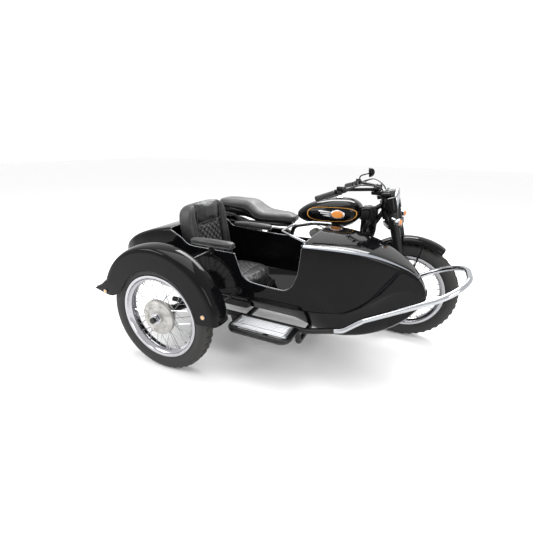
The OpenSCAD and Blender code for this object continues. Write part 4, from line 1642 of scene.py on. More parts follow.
@dataclass
class PassengerSeat:
    """Armchair of the sidecar: bolstered back, quilted panels, cushion and armrests."""

    paints: Paints
    foot: Point = (-1112.0, BODY_Y, 388.0)
    lean: float = 10.0
    pitch: float = 46.0
    seat_z: float = CUSHION_BED_Z
    arm_y: float = 253.0
    arm_z: float = 718.0

    def back(self, u: float, v: float, t: float) -> Vector:
        """Point of the frame for the backrest's own across, up and forward millimetres."""
        a = math.radians(self.lean)
        x = t * math.cos(a) - v * math.sin(a)
        z = t * math.sin(a) + v * math.cos(a)
        return HERE.at(self.foot[0] + x, self.foot[1] + u, self.foot[2] + z)

    def unback(self, place: Vector) -> tuple[float, float, float]:
        """Across, up and forward millimetres of a point of the frame."""
        a = math.radians(self.lean)
        q = (place - HERE.at(*self.foot)) * 1000
        return q.y, q.z * math.cos(a) - q.x * math.sin(a), q.x * math.cos(a) + q.z * math.sin(a)

    def column(self, name: str, path: Rows, half: Rows, middle: float) -> Piece:
        """Padded roll along a path in the backrest's plane.

        Args:
            name: the piece's name.
            path: places (across, up).
            half: half width and half depth at each place.
            middle: forward place of its centre.

        Returns:
            The stuffed roll.
        """
        places = self.blend_path(path, half)
        rings = []
        for i, (p, (wide, deep)) in enumerate(places):
            ahead = places[min(i + 1, len(places) - 1)][0] - places[max(i - 1, 0)][0]
            side = Vector((ahead.y, -ahead.x)).normalized()
            rings.append(
                [self.back(p.x + side.x * a, p.y + side.y * a, middle + b) for a, b in oval(wide, deep)]
            )
        return loft(name, rings)

    @staticmethod
    def blend_path(path: Rows, half: Rows) -> list[tuple[Vector, tuple[float, float]]]:
        """Path and sizes on one smooth curve."""
        line = flow([Vector(p) for p in path], 5)
        size = flow([Vector(h) for h in half], 5)
        return [(p, (h.x, h.y)) for p, h in zip(line, size)]

    def bolsters(self) -> Piece:
        """Two rolls that run up the sides and turn in at the top."""
        made = []
        for s in (-1, 1):
            path = [
                (s * 172, 8), (s * 172, 60), (s * 172, 240), (s * 171, 400), (s * 160, 470), (s * 136, 504),
                (s * 118, 512)
            ]
            half = [(20, 36), (33, 52), (33, 54), (33, 54), (31, 52), (24, 44), (12, 28)]
            roll = self.column("bolster", path, half, -60)
            made.append(inflate(roll, 0.005))
        return join("seat_bolsters", made)

    def centre_pads(self) -> Piece:
        """Quilted middle and the smooth headrest over it."""
        rings = [
            [
                self.back(a, v, t) for a,
                t in self.slab_row(130 + 2 * k / 10, -84, -24 - 3 * math.sin(k / 10 * 3))
            ]
            for k, v in enumerate(np.linspace(14, 404, 11))
        ]
        pad = inflate(loft("quilted_panel", rings), 0.008, 0.005)

        def stitched(co: Vector) -> Vector:
            """Shift that draws the seams in."""
            u, v, t = self.unback(co)
            if t < -60:
                return Vector((0, 0, 0))
            deep = 11 * quilt(u, v, self.pitch) * min(
                1, max(0, (122 - abs(u)) / 14)
            ) * min(1, max(0, (t + 60) / 14))
            return self.back(u, v, t - deep) - co

        push(pad, stitched)
        rings = []
        for k, v in enumerate(np.linspace(406, 527, 9)):
            wide = 106 + 28 * (k / 8) ** 0.8
            edge = 1 - 0.12 * abs(k / 4 - 1) ** 4
            rings.append([self.back(a * edge, v, t) for a, t in self.slab_row(wide, -92, -14)])
        head = inflate(loft("headrest", rings), 0.008)
        return join("seat_centre", [pad, head])

    @staticmethod
    def slab_row(wide: float, back: float, front: float) -> list[tuple[float, float]]:
        """Flat rounded outline between two depths."""
        return [(a, (front + back) / 2 + b) for a, b in oval(wide, (front - back) / 2, 0.4, 36)]

    def back_shell(self) -> Piece:
        """Trimmed board behind the pads, with rounded shoulders."""
        rings = []
        for v, w in (
            (2, 196), (14, 203), (240, 205), (430, 203), (480, 190), (508, 166), (524, 120), (530, 60)
        ):
            rings.append([self.back(a, v, t) for a, t in self.slab_row(w, -120, -56)])
        return smooth(apply(loft("seat_board", rings), "SUBSURF", levels=1, render_levels=1), 60)

    def piping(self) -> Piece:
        """Welts along the bolsters and round the headrest."""
        made = []
        for s in (-1, 1):
            path = flow([(s * 139, 30), (s * 140, 200), (s * 138, 372), (s * 132, 440), (s * 120, 486)], 5)
            made.append(tube("welt", [self.back(p.x, p.y, -16) for p in path], 0.0022, 1))
            path = flow(
                [
                    (s * 199, 20), (s * 205, 200), (s * 204, 400), (s * 190, 474), (s * 158, 512),
                    (s * 118, 525)
                ],
                5
            )
            made.append(tube("welt", [self.back(p.x, p.y, -92) for p in path], 0.0026, 1))
        made.append(tube("welt", [self.back(u, 405, -18) for u in np.linspace(-118, 118, 20)], 0.0022, 1))
        return join("seat_piping", made)

    def cushion(self) -> Piece:
        """Seat cushion with a rounded nose, quilted where it is sat on."""
        rings = []
        z = self.seat_z + 58
        for x, w, h in (
            (-1110, 170, 32), (-1102, 200, 46), (-1060, 208, 52), (-980, 208, 53), (-920, 206, 54),
            (-880, 196, 54), (-846, 172, 52), (-820, 132, 46), (-804, 84, 36), (-797, 36, 20),
        ):
            rings.append([HERE.at(x, BODY_Y + a, z + b) for a, b in oval(w, h, 0.55, 40)])
        pad = inflate(loft("sidecar_seat_pad", rings), 0.009, 0.006)

        def stitched(co: Vector) -> Vector:
            """Shift that draws the seams in."""
            q = (co - HERE.at(-985, BODY_Y, z)) * 1000
            if q.z < 32:
                return Vector((0, 0, 0))
            inside = min(1, max(0, (132 - abs(q.y)) / 12)) * min(1, max(0, (92 - abs(q.x)) / 12))
            return Vector(
                (0, 0, -0.011 * quilt(q.x, q.y, self.pitch * 0.92) * inside * min(1, (q.z - 32) / 12))
            )

        push(pad, stitched)
        return pad

    def armrest(self, s: int) -> Piece:
        """One padded armrest, thicker at its front."""
        rings = []
        y = BODY_Y + s * self.arm_y
        for x, w, h in (
            (-1160, 14, 9), (-1154, 24, 14), (-1130, 28, 17), (-1060, 28, 18), (-960, 28, 19),
            (-900, 28, 19), (-882, 25, 16), (-873, 15, 10),
        ):
            rings.append([HERE.at(x, y + a, self.arm_z + b) for a, b in oval(w, h, 0.62, 24)])
        return inflate(loft("armrest", rings), 0.003, 0.005)

    def arm_trim(self) -> Piece:
        """Welt round each armrest's foot."""
        made = []
        for s in (-1, 1):
            y = BODY_Y + s * self.arm_y
            ring = [(-1150, -24), (-1120, -30), (-1000, -31), (-900, -30), (-880, -24), (-875, 0)]
            loop = ring + [(x, -b) for x, b in reversed(ring[:-1])] + [(-1158, 0)]
            path = [HERE.at(p.x, y + p.y, self.arm_z - 12) for p in flow([Vector(q) for q in loop], 4, True)]
            made.append(tube("welt", path, 0.0022, 1, True))
        return join("armrest_piping", made)

    def build(self) -> None:
        """Builds and dresses the seat."""
        p = self.paints
        pads = (
            (self.bolsters(), ["sidecar_backrest"], 0.8),
            (self.centre_pads(), [], 0.6),
            (self.cushion(), ["sidecar_cushion"], 0.7),
            (join("armrest_pads", [self.armrest(-1), self.armrest(1)]), ["armrests"], 0.6),
        )
        for piece, nodes, fill in pads:
            finish_piece(smooth(apply(piece, "SUBSURF", levels=1, render_levels=1), 70), Body.OUTFIT, p.hide,
                         nodes)
        finish_piece(self.back_shell(), Body.OUTFIT, p.hide)
        finish_piece(self.piping(), Body.OUTFIT, p.seat_hide)
        finish_piece(self.arm_trim(), Body.OUTFIT, p.seat_hide)


@dataclass
class RiderSeat:
    """One-piece dual seat: a dished rider's half and a raised pillion."""

    paints: Paints

    def build(self) -> None:
        rows = (
            (-782, 728, 750, 30), (-800, 721, 768, 56), (-860, 718, 775, 81), (-950, 718, 776, 106),
            (-1030, 719, 782, 123), (-1080, 725, 804, 124), (-1120, 744, 831, 115), (-1160, 772, 848, 105),
            (-1240, 788, 851, 107), (-1330, 797, 851, 108), (-1400, 801, 848, 90), (-1430, 807, 838, 50),
            (-1438, 815, 828, 24),
        )
        rings = []
        curve = self.dense(rows)
        for x, low, high, w in curve:
            rings.append([HERE.at(x, a, (low + high) / 2 + b) for a, b in oval(w, (high - low) / 2, 0.5, 40)])
        pad = inflate(loft("rider_dual_seat", rings), 0.004, 0.006)
        finish_piece(smooth(apply(pad, "SUBSURF", levels=1, render_levels=1), 70), Body.OUTFIT,
                     self.paints.seat_hide,
                     ["rider_seat"])
        welts = []
        for s in (-1, 1):
            path = [HERE.at(x, s * (w + 1.5), low + (high - low) * 0.3) for x, low, high, w in curve[3:-4]]
            welts.append(tube("welt", path, 0.003, 1))
        finish_piece(join("rider_seat_piping", welts), Body.OUTFIT, self.paints.rubber)

    @staticmethod
    def dense(rows: Sequence[Sequence[float]]) -> list[tuple[float, ...]]:
        """Rows with three smooth rows between each two."""
        columns = [[(i, r[c]) for i, r in enumerate(rows)] for c in range(4)]
        steps = (len(rows) - 1) * 4
        return [tuple(look(column, k / 4) for column in columns) for k in range(steps + 1)]


# ---------- tank, mudguards and lamps ----------


@dataclass
class FuelTank:
    """Teardrop tank with a lined panel, a plain badge on each side and a bright filler cap."""

    paints: Paints

    def half_at(self, x: float) -> float:
        """Half the tank's width."""
        return look(
            [
                (-770, 56), (-740, 84), (-680, 112), (-560, 135), (-440, 135), (-370, 112), (-330, 72),
                (-312, 44)
            ],
            x
        )

    def top_at(self, x: float) -> float:
        """Height of the tank's ridge."""
        return look(
            [
                (-770, 806), (-740, 836), (-680, 872), (-560, 908), (-470, 918), (-390, 914), (-335, 886),
                (-312, 846)
            ],
            x
        )

    def foot_at(self, x: float) -> float:
        """Height of the tank's underside."""
        return look(
            [
                (-770, 768), (-740, 750), (-680, 732), (-560, 716), (-440, 722), (-370, 750), (-330, 790),
                (-312, 812)
            ],
            x
        )

    def wall(self, x: float, z: float, s: int) -> Vector:
        """Point of the tank's side at x and z."""
        top, foot = self.top_at(x), self.foot_at(x)
        v = max(-1, min(1, (z - (top + foot) / 2) / ((top - foot) / 2)))
        a = math.asin(abs(v) ** (1 / 0.8))
        return HERE.at(x, s * self.half_at(x) * math.cos(a) ** 0.72, z)

    def build(self) -> None:
        """Builds and dresses the tank."""
        p = self.paints
        rings = []
        for k in range(9):
            a = math.pi / 2 * k / 8
            rings.append(self.ring(-770 + 16 * (1 - math.cos(a)), 0.35 + 0.65 * math.sin(a)))
        rings += [self.ring(x, 1) for x in np.linspace(-748, -330, 40)]
        for k in range(9):
            a = math.pi / 2 * k / 8
            rings.append(self.ring(-326 + 14 * math.sin(a), 0.35 + 0.65 * math.cos(a)))
        finish_piece(
            smooth(loft("petrol_tank", rings), 60), Body.OUTFIT, p.tank, ["fuel_tank"]
        )
        cap = lathe(
            "filler_cap",
            [
                (0.05, -10), (24, -10), (24, -2), (29, 0), (30.5, 4), (29, 8), (25, 9.5), (22, 8.5), (18, 10),
                (0.05, 12.5)
            ],
            HERE.at(-480, 0, 917), UP, 48,
        )
        finish_piece(cap, Body.OUTFIT, p.chrome)
        self.badges()

    def ring(self, x: float, share: float) -> list[Vector]:
        """Section of the tank at x, drawn in by a share."""
        top, foot = self.top_at(x), self.foot_at(x)
        return [
            HERE.at(x, a, (top + foot) / 2 + b)
            for a, b in oval(self.half_at(x) * share, (top - foot) / 2 * share, 0.76, 56)
        ]

    def patch(self, name: str, s: int, outline: Callable, lift: float) -> Piece:
        """Thin plate laid on the tank's side, from its outline (x, z) at a share of its size."""
        rows = []
        for share in (0.001, 0.25, 0.5, 0.75, 0.93, 1.0):
            row = []
            for k in range(48):
                x, z = outline(math.tau * k / 48, share)
                q = self.wall(x, z, s)
                row.append(q + Vector((0, s * (lift if share < 0.95 else lift * 0.3) / 1000, 0)))
            rows.append(row)
        piece = skin(name, rows, True)
        apply(piece, "SOLIDIFY", thickness=0.0012, offset=0)
        return smooth(outward(piece), 50)

    def badges(self) -> None:
        """Amber ovals in silver rims with three silver bars behind each."""
        amber, silver = [], []
        for s in (-1, 1):
            amber.append(
                self.patch(
                    "oval", s, lambda a, f: (-456 + 40 * f * math.cos(a), 826 + 23 * f * math.sin(a)), 4.5
                )
            )
            silver.append(
                self.patch(
                    "rim", s, lambda a, f: (-456 + 46 * f * math.cos(a), 826 + 28 * f * math.sin(a)), 2.6
                )
            )
            for k, long in enumerate((92, 74, 54)):
                z = 838 - k * 13
                silver.append(self.patch(
                    "bar", s,
                    lambda a, f, z=z, long=long: (
                        -500 - long / 2 + long / 2 * f * math.cos(a), z + 4.6 * f * math.sin(a)
                    ),
                    2.0,
                ))
        finish_piece(join("tank_badges", amber), Body.OUTFIT, self.paints.badge)
        finish_piece(join("tank_badge_rims", silver), Body.OUTFIT, self.paints.silver)


@dataclass
class WheelGuard:
    """Round-crowned mudguard over a motorcycle wheel, with a wired edge and stays."""

    paints: Paints
    name: str
    body: Body
    x: float
    start: float
    end: float
    inner: float
    outer: float
    half: float

    def at(self, r: float, a: float, h: float) -> Vector:
        """Point of the frame, from radius, degrees and offset to the left."""
        b = math.radians(a)
        return HERE.at(self.x + r * math.cos(b), h, AXLE_Z + r * math.sin(b))

    def build(self, node: str) -> None:
        """Builds and dresses the guard.

        Args:
            node: the CAD node it stands for.
        """
        lip, top, w = self.inner, self.outer, self.half
        half = [
            (lip, w - 1.5), (lip + 10, w - 2), (top - 17, w - 8), (top - 7, w * 0.62), (top - 2.5, w * 0.3),
            (top - 1, 0)
        ]
        line = flow([Vector(q) for q in half + [(r, -h) for r, h in reversed(half[:-1])]], 4)
        rows = []
        steps = 64
        for k in range(steps + 1):
            a = self.start + (self.end - self.start) * k / steps
            near = min(k, steps - k)
            cut = max(0, 1 - near / 3)
            rows.append([self.at(p.x - cut * 2, a, p.y * (1 - 0.1 * cut * cut)) for p in line])
        sheet = apply(skin(self.name, rows), "SOLIDIFY", thickness=0.003, offset=0)
        finish_piece(smooth(outward(sheet), 50), self.body, self.paints.gloss, [node])
        wires = []
        for s in (-1, 1):
            path = [self.at(lip + 1, a, s * (w - 1.5)) for a in np.linspace(self.start, self.end, 50)]
            wires.append(tube("wire", path, 0.003, 2))
        finish_piece(join(f"{self.name}_edges", wires), self.body, self.paints.gloss)
        if self.body is Body.STEERING:
            finish_piece(self.stays(), self.body, self.paints.gloss)

    def stays(self) -> Piece:
        """Rods from the fork's foot to the guard's sides, with a bolt at each end."""
        made = []
        for s in (-1, 1):
            foot = HERE.at(self.x + 6, s * 82, AXLE_Z + 34)
            for a in (78, 146, 176):
                tip = self.at(self.inner + 8, a, s * (self.half + 2.5))
                made.append(
                    tube("stay", [foot, foot.lerp(tip, 0.08) + Vector((0, s * 0.002, 0)), tip], 0.0042, 2)
                )
                made.append(hex_bolt("bolt", tip, Vector((0, s, 0)), 4.5))
            made.append(hex_bolt("bolt", foot + Vector((0, s * 0.003, 0)), Vector((0, s, 0)), 6))
        return join(f"{self.name}_stays", made)


# ---------- front end, step and small fittings ----------


@dataclass
class FrontEnd:
    """Headlamp with its nacelle, handlebar, controls, cables, mirror, indicators and dials."""

    paints: Paints
    lamp: Point = (-112.0, 0.0, 922.0)
    lamp_r: float = 80.0

    def headlamp(self) -> None:
        """Bowl, bright rim, reflector, bulb and fluted glass."""
        c, r, ahead = HERE.at(*self.lamp), self.lamp_r, AHEAD
        bowl = [(r - 2, 2), (r - 1, -12), (r - 4, -40), (r - 18, -72), (r - 44, -90), (10, -95), (0.05, -95)]
        bowl += [(0.05, -91), (10, -91), (r - 46, -86), (r - 21, -69), (r - 8, -39), (r - 5, -12), (r - 6, 2)]
        piece = lathe("headlamp_bowl", bowl, c, ahead, 72)
        finish_piece(join("headlamp_bowl", [piece, *self.nacelle()]), Body.STEERING, self.paints.gloss,
                     ["headlamp"])
        rim = [
            (r - 9, 9), (r - 5, 13), (r + 1, 12), (r + 6, 7), (r + 7.5, 0), (r + 5, -7), (r, -9), (r, -6),
            (r - 2, 4)
        ]
        finish_piece(
            lathe("headlamp_rim", rim, c, ahead, 72), Body.STEERING, self.paints.chrome
        )
        dish = [(r - 8, 4), (r - 20, -14), (r - 40, -32), (14, -44), (10, -44), (10, -46), (16, -47),
                (r - 38, -35),
                (r - 18, -17), (r - 6, 3)]
        bulb = [(0.05, -20), (5, -21), (8, -26), (8, -40), (0.05, -42)]
        inner = join(
            "headlamp_reflector", [lathe("dish", dish, c, ahead, 64), lathe("bulb", bulb, c, ahead, 20)]
        )
        finish_piece(inner, Body.STEERING, self.paints.mirror)
        glass = [(0.05, 15), (24, 14.5), (46, 12.5), (62, 9), (r - 8, 5), (r - 8, 3), (62, 7), (46, 10.5),
                 (24, 12.5),
                 (0.05, 13)]
        finish_piece(
            lathe("headlamp_glass", glass, c, ahead, 64), Body.STEERING, self.paints.glass
        )

    def nacelle(self) -> list[Piece]:
        """Covers over the fork tops, the ears that hold the lamp and the dial panel."""
        made = []
        for s in (-1, 1):
            line = [self.leg(z, s) for z in (866, 955)]
            axis = line[1] - line[0]
            cover = [
                (30.4, 0), (34, 0), (34.6, 4), (34, 88), (31, 93), (24, 96), (0.05, 97), (0.05, 90),
                (30.4, 86)
            ]
            made.append(lathe("cover", cover, line[0], axis, 48))
            ear = loft("ear", [
                [HERE.at(x, s * (y + a), 918 + b) for a, b in oval(8, h, 0.6, 24)]
                for x, y, h in ((-176, 98, 34), (-150, 92, 38), (-128, 84, 40), (-112, 76, 34))
            ])
            made.append(smooth(ear, 50))
        made.append(block("brow", HERE.at(-176, 0, 966), (60, 200, 30), 13, 5))
        made.append(block("dial_panel", HERE.at(-212, 0, 974), (110, 150, 26), 11, 5))
        return made

    @staticmethod
    def leg(z: float, s: int) -> Vector:
        """Point of a fork leg's line at a height."""
        return HERE.at(32 - (z - AXLE_Z) * math.tan(RAKE), s * 105, z)

    def bars(self) -> None:
        """Handlebar, rubber grips with ribs, levers, housings and cables."""
        bars, grips, metal, cables = [], [], [], []
        for s in (-1, 1):
            end, bend = (HERE.at(x, s * y, z) for x, y, z in (BAR_END, BAR_BEND))
            line = rounded_line([HERE.at(-236, 0, 1000), HERE.at(-240, s * 92, 1000), bend, end], 0.046, 8)
            bars.append(tube("bar", line, 0.011, 4))
            u = (end - bend).normalized()
            rings = [(11.2, -116), (17, -116), (17.6, -113), (14.6, -110)]
            for k in range(12):
                h = -108 + k * 8.6
                rings += [(16.2, h), (16.9, h + 2), (16.9, h + 4.6), (16.2, h + 6.6)]
            rings += [(17, 0), (15.5, 4.5), (12, 6), (0.05, 6), (0.05, 4), (11.2, 2)]
            grips.append(lathe("grip", rings, end, u, 40))
            hub = end - u * 0.142
            shell = [(11.4, -24), (17, -24), (20, -20), (20.5, 0), (19, 10), (15, 12.4), (11.4, 12.4)]
            metal.append(lathe("control", shell, hub, u, 36))
            metal.append(
                lathe(
                    "switch", [(11.4, -18), (18, -18), (19, -14), (19, 12), (16, 16), (11.4, 16)],
                    hub - u * 0.046, u, 6
                )
            )
            metal.append(block("reservoir", hub + Vector((0.016, 0, 0.026)), (34, 26, 18), 4))
            metal.append(hex_bolt("clamp_bolt", hub - u * 0.046 + Vector((0.004, 0, 0.018)), UP, 4))
            lever = [hub + AHEAD * 0.012 + u * 0.004, hub + AHEAD * 0.05 + u * 0.016,
                     hub + AHEAD * 0.05 + u * 0.06,
                     hub + AHEAD * 0.043 + u * 0.125]
            metal.append(tube("lever", rounded_line(lever, 0.016, 5), 0.0048, 2))
            start = hub + AHEAD * 0.03 - u * 0.012
            for drop, out in ((0.0, 0.0), (0.012, 0.016)):
                path = [start + Vector((0, 0, drop)), start + AHEAD * 0.06 - u * 0.05 + Vector((0, 0, 0.03)),
                        HERE.at(-215, s * (78 + out * 900), 1012), HERE.at(-186, s * (48 + out * 900), 962),
                        HERE.at(-196, s * (52 + out * 700), 900)]
                cables.append(tube("cable", flow(path, 8), 0.0034, 2))
        finish_piece(
            join("handlebar_tube", bars), Body.STEERING, self.paints.gloss, ["handlebar"]
        )
        finish_piece(join("bar_grips", grips), Body.STEERING, self.paints.rubber, ["grips"])
        finish_piece(join("bar_controls", metal), Body.STEERING, self.paints.frame, ["levers"])
        finish_piece(join("control_cables", cables), Body.STEERING, self.paints.rubber)
        clamps = [block("clamp", HERE.at(-236, s * 44, 1002), (40, 26, 29), 5) for s in (-1, 1)]
        for s in (-1, 1):
            for dx in (-11, 11):
                clamps.append(hex_bolt("bolt", HERE.at(-236 + dx, s * 44, 1016), UP, 4.5))
        finish_piece(join("bar_clamps", clamps), Body.STEERING, self.paints.frame)

    def mirror(self) -> None:
        """Round mirror on a bent stem."""
        c = HERE.at(-346, 304, 1072)
        back = Vector((math.cos(math.radians(8)), math.sin(math.radians(8)), 0.14)).normalized()
        bowl = [
            (0.05, 34), (10, 32.5), (20, 28), (28, 20), (33, 9), (35, -3), (35.5, -8), (33, -8), (31, -4),
            (0.05, -4)
        ]
        stem = flow(
            [
                HERE.at(-406, 247, 1008), HERE.at(-404, 258, 1046), HERE.at(-372, 286, 1060),
                HERE.at(-352, 300, 1066)
            ],
            6
        )
        piece = join("mirror_shell", [lathe("bowl", bowl, c, back, 48), tube("stem", stem, 0.005, 3)])
        finish_piece(piece, Body.STEERING, self.paints.gloss, ["mirror"])
        face = [(0.05, -5), (31.5, -5), (31.5, -7), (0.05, -7)]
        finish_piece(
            lathe("mirror_face", face, c, back, 48), Body.STEERING, self.paints.mirror
        )

    def indicators(self) -> None:
        """Bullet indicators with amber lenses facing ahead and astern."""
        shells, lenses = [], []
        for s in (-1, 1):
            c, ahead = HERE.at(-72, s * 166, 822), AHEAD
            shells.append(lathe(
                "bullet", [
                    (0.05, -23.5), (7, -22.5), (14, -19), (20, -11), (23, 0), (23.5, 8), (22, 10), (19, 9),
                    (0.05, 9)
                ],
                c, ahead, 40,
            ))
            shells.append(tube("stem", [HERE.at(-110, s * 142.5, 838), HERE.at(-80, s * 158, 827)], 0.008, 3))
            lenses.append(
                lathe(
                    "lens", [(0.05, 9), (19.5, 9), (19, 13), (14, 19), (7, 22.5), (0.05, 23.5)], c, ahead, 36
                )
            )
        finish_piece(
            join("indicator_shells", shells), Body.STEERING, self.paints.chrome,
            ["front_indicators"]
        )
        finish_piece(join("indicator_lenses", lenses), Body.STEERING, self.paints.amber)

    def dials(self) -> None:
        """Two round instruments on the headlamp's back."""
        rims, faces = [], []
        up = Vector((-0.35, 0, 1)).normalized()
        for s, r in ((-1, 22), (1, 34)):
            c = HERE.at(-196, s * 34, 985)
            rims.append(
                lathe("ring", [(r - 4, 0), (r + 1, 0), (r + 2, 4), (r, 7), (r - 3, 6), (r - 4, 4)], c, up, 40)
            )
            faces.append(lathe("face", [(0.05, 2), (r - 4, 2), (r - 4, 4), (0.05, 4.4)], c, up, 40))
        finish_piece(join("dial_rims", rims), Body.STEERING, self.paints.chrome)
        finish_piece(join("dial_faces", faces), Body.STEERING, self.paints.dial)

    def build(self) -> None:
        """Builds and dresses the front end."""
        self.headlamp()
        self.bars()
        self.mirror()
        self.indicators()
        self.dials()


@dataclass
class StepAndFittings:
    """Step plate, side axle nut, engine and head fittings, seat pan, rear lamps and number plate."""

    paints: Paints

    def step_plate(self) -> Piece:
        """Step plate with pressed ribs and turned edges."""
        plate = block("step_plate", HERE.at(STEP_X, STEP_Y, 318.5), (326, 124, 5.2), 1.6, 2)
        with editing(plate) as edit:
            pick(plate, edit, "FACE", lambda f: f.normal.z > 0.98 and f.calc_area() > 0.01)
            bpy.ops.mesh.subdivide(number_cuts=27)
        with editing(plate) as edit:
            y0 = HERE.at(0, -941, 0).y
            pick(
                plate, edit, "FACE",
                lambda f: f.normal.z > 0.98 and int((f.calc_center_median().y - y0) / 0.00443) % 3 == 1
                and abs(f.calc_center_median().x - HERE.at(STEP_X, 0, 0).x) < 0.15,
            )
            bpy.ops.mesh.inset(thickness=0.0005, depth=0.0016)
        bolts = [
            hex_bolt("bolt", HERE.at(STEP_X + dx, STEP_Y + dy, 321), UP, 4)
            for dx in (-150, 150) for dy in (-50, 50)
        ]
        return join("step_plate", [plate, *bolts])

    def axle_nuts(self) -> Piece:
        """Washer, castle nut and stub of the sidecar's axle."""
        c, out = HERE.at(SIDE_X, TRACK_Y - 52, AXLE_Z), RIGHT
        washer = lathe("washer", [(10.6, 0), (34, 0), (35, 2), (33, 5), (20, 6), (10.6, 6)], c, out, 48)
        dome = lathe("cap", [(0.05, 6), (17, 6), (17, 13), (15, 18), (10, 24), (0.05, 25)], c, out, 6)
        ring = lathe("ring", [(17, 6), (24, 6), (24, 9), (22, 11), (17, 11)], c, out, 36)
        return join("side_axle_nut", [washer, dome, ring])

    def engine_bits(self) -> None:
        """Plug lead, intake and two copper-coloured oil pipes."""
        top = HERE.at(-530, 0, 700)
        lead = flow([top + Vector((0.02, -0.06, -0.04)), top + Vector((0.03, -0.11, -0.01)),
                     top + Vector((-0.06, -0.1, 0.03)), top + Vector((-0.16, -0.06, 0.02))], 8)
        finish_piece(tube("plug_lead", lead, 0.0036, 2), Body.OUTFIT, self.paints.rubber)
        pipes = []
        for dx in (-12, 4):
            path = [HERE.at(-560 + dx, -96, 470), HERE.at(-566 + dx, -104, 560), HERE.at(-556 + dx, -92, 660),
                    HERE.at(-540 + dx, -60, 696)]
            pipes.append(tube("pipe", flow(path, 8), 0.0042, 2))
        finish_piece(join("oil_pipes", pipes), Body.OUTFIT, self.paints.gold)
        body = [
            (0.05, -30), (18, -30), (20, -26), (20, 14), (24, 16), (24, 30), (17, 34), (17, 46), (0.05, 48)
        ]
        finish_piece(lathe("intake", body, HERE.at(-636, 0, 640), UP, 40), Body.OUTFIT,
                     self.paints.alloy)

    def head_fittings(self) -> None:
        """Gusset, regulator, coil and horn behind the steering head, and the loom's bends."""
        made = [
            block("gusset", HERE.at(-268, 0, 786), (104, 66, 186), 18, 5),
            block("regulator", HERE.at(-292, -44, 826), (54, 34, 76), 7, 3),
            lathe("coil", [(0.05, -46), (17, -46), (20, -42), (20, 40), (16, 46), (9, 48), (8, 60), (0.05, 60)],
                  HERE.at(-272, -52, 752), Vector((0.25, -0.2, 1)), 36),
        ]
        for s in (-1, 1):
            path = flow([HERE.at(-330, s * 40, 830), HERE.at(-290, s * 66, 868), HERE.at(-240, s * 52, 850),
                         HERE.at(-226, s * 30, 780), HERE.at(-300, s * 36, 716)], 8)
            made.append(tube("loom", path, 0.006, 2))
        finish_piece(join("head_fittings", made), Body.OUTFIT, self.paints.frame)
        horn = [
            (0.05, 0), (16, 1), (20, -2), (28, 1), (38, 3), (43, 0), (44, -6), (38, -14), (20, -26),
            (0.05, -30)
        ]
        finish_piece(lathe("horn", horn, HERE.at(-238, -58, 716), Vector((0.85, -0.5, 0.1)), 48), Body.OUTFIT,
                     self.paints.gloss)

    def seat_pan(self) -> Piece:
        """Black pan under the seat, deeper below the pillion."""
        rings = []
        for x, low, high, w in (
            (-812, 700, 724, 40), (-860, 690, 724, 72), (-960, 686, 724, 92), (-1060, 700, 728, 100),
            (-1130, 722, 756, 98), (-1180, 728, 786, 96), (-1280, 728, 800, 96), (-1370, 736, 804, 88),
            (-1416, 760, 806, 60),
        ):
            rings.append([HERE.at(x, a, (low + high) / 2 + b) for a, b in oval(w, (high - low) / 2, 0.4, 36)])
        return smooth(loft("seat_pan", rings), 50)

    def plate(self) -> Piece:
        """Blank number plate with a pressed border."""
        piece = block("number_plate", HERE.at(-1722.5, 0, 492), (3, 182, 126), 1.2, 2)
        with editing(piece) as edit:
            pick(piece, edit, "FACE", lambda f: f.normal.x < -0.98 and f.calc_area() > 0.01)
            bpy.ops.mesh.inset(thickness=0.005, depth=0)
            bpy.ops.mesh.inset(thickness=0.002, depth=-0.001)
        return piece

    def tail_lamps(self) -> None:
        """Red rear lamp in a bright bezel and two amber indicators."""
        c, back = HERE.at(-1716, 0, 590), ASTERN
        bezel = [(34.5, -2), (38, -2), (39, 4), (37, 9), (34.5, 10)]
        red = [(0.05, -4), (34.4, -4), (34.6, 14), (31, 20), (22, 24), (0.05, 26)]
        finish_piece(
            lathe("tail_lamp_bezel", bezel, c, back, 56), Body.OUTFIT, self.paints.chrome
        )
        finish_piece(lathe("tail_lamp_lens", red, c, back, 56), Body.OUTFIT, self.paints.red)
        shells, lenses = [], []
        for s in (-1, 1):
            c = HERE.at(-1672, s * 134, 596)
            shells.append(lathe(
                "bullet", [
                    (0.05, -24.6), (7, -23.6), (15, -20), (21, -12), (24.4, 0), (24.6, 6), (22, 8), (0.05, 8)
                ],
                c, back, 40,
            ))
            lenses.append(
                lathe("lens", [(0.05, 8), (22, 8), (22, 14), (17, 21), (8, 24.6), (0.05, 25.4)], c, back, 36)
            )
        finish_piece(join("rear_indicator_shells", shells), Body.OUTFIT, self.paints.chrome)
        finish_piece(join("rear_indicator_lenses", lenses), Body.OUTFIT, self.paints.amber)

    def build(self) -> None:
        """Builds and dresses the fittings."""
        p = self.paints
        finish_piece(self.step_plate(), Body.OUTFIT, p.step)
        finish_piece(self.axle_nuts(), Body.OUTFIT, p.rim)
        self.engine_bits()
        self.head_fittings()
        self.tail_lamps()
        finish_piece(self.seat_pan(), Body.OUTFIT, p.gloss)
        finish_piece(self.plate(), Body.OUTFIT, p.silver)


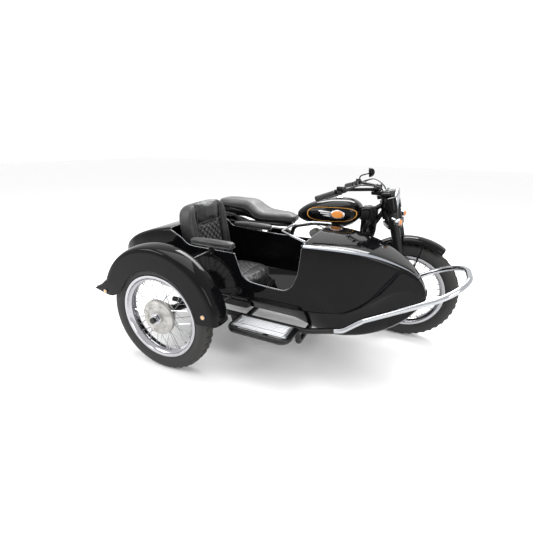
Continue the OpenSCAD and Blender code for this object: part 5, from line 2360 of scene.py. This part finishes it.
def main() -> None:
    """Builds and dresses the outfit, sub-assembly by sub-assembly."""
    studio = Studio()
    studio.camera()
    paints = Paints()
    studio.light()
    studio.floor(paints)
    CarriedNodes(paints).dress()
    for name, body, x, y, out, drum, tyre, wheel in (
        ("front", Body.FRONT_WHEEL, FRONT_X, 0, 1, 88, "front_tyre", "front_wheel"),
        ("rear", Body.REAR_WHEEL, REAR_X, 0, 1, 88, "rear_tyre", "rear_wheel"),
        ("side", Body.SIDE_WHEEL, SIDE_X, TRACK_Y, -1, 104, "side_tyre", "side_wheel"),
    ):
        RoadWheel(name, body, HERE.at(x, y, AXLE_Z), out, drum, paints).build(tyre, wheel)
    SidecarTub(paints).build()
    SidecarGuard(paints).build()
    PassengerSeat(paints).build()
    RiderSeat(paints).build()
    FuelTank(paints).build()
    for name, body, x, start, end, inner, outer, half, node in (
        ("front_guard", Body.STEERING, FRONT_X, 57, 179, 342, 378, 66, "front_mudguard"),
        ("rear_guard", Body.OUTFIT, REAR_X, 38, 192, 336, 380, 70, "rear_mudguard"),
    ):
        WheelGuard(paints, name, body, x, start, end, inner, outer, half).build(node)
    FrontEnd(paints).build()
    StepAndFittings(paints).build()


if __name__ == "__main__":
    main()
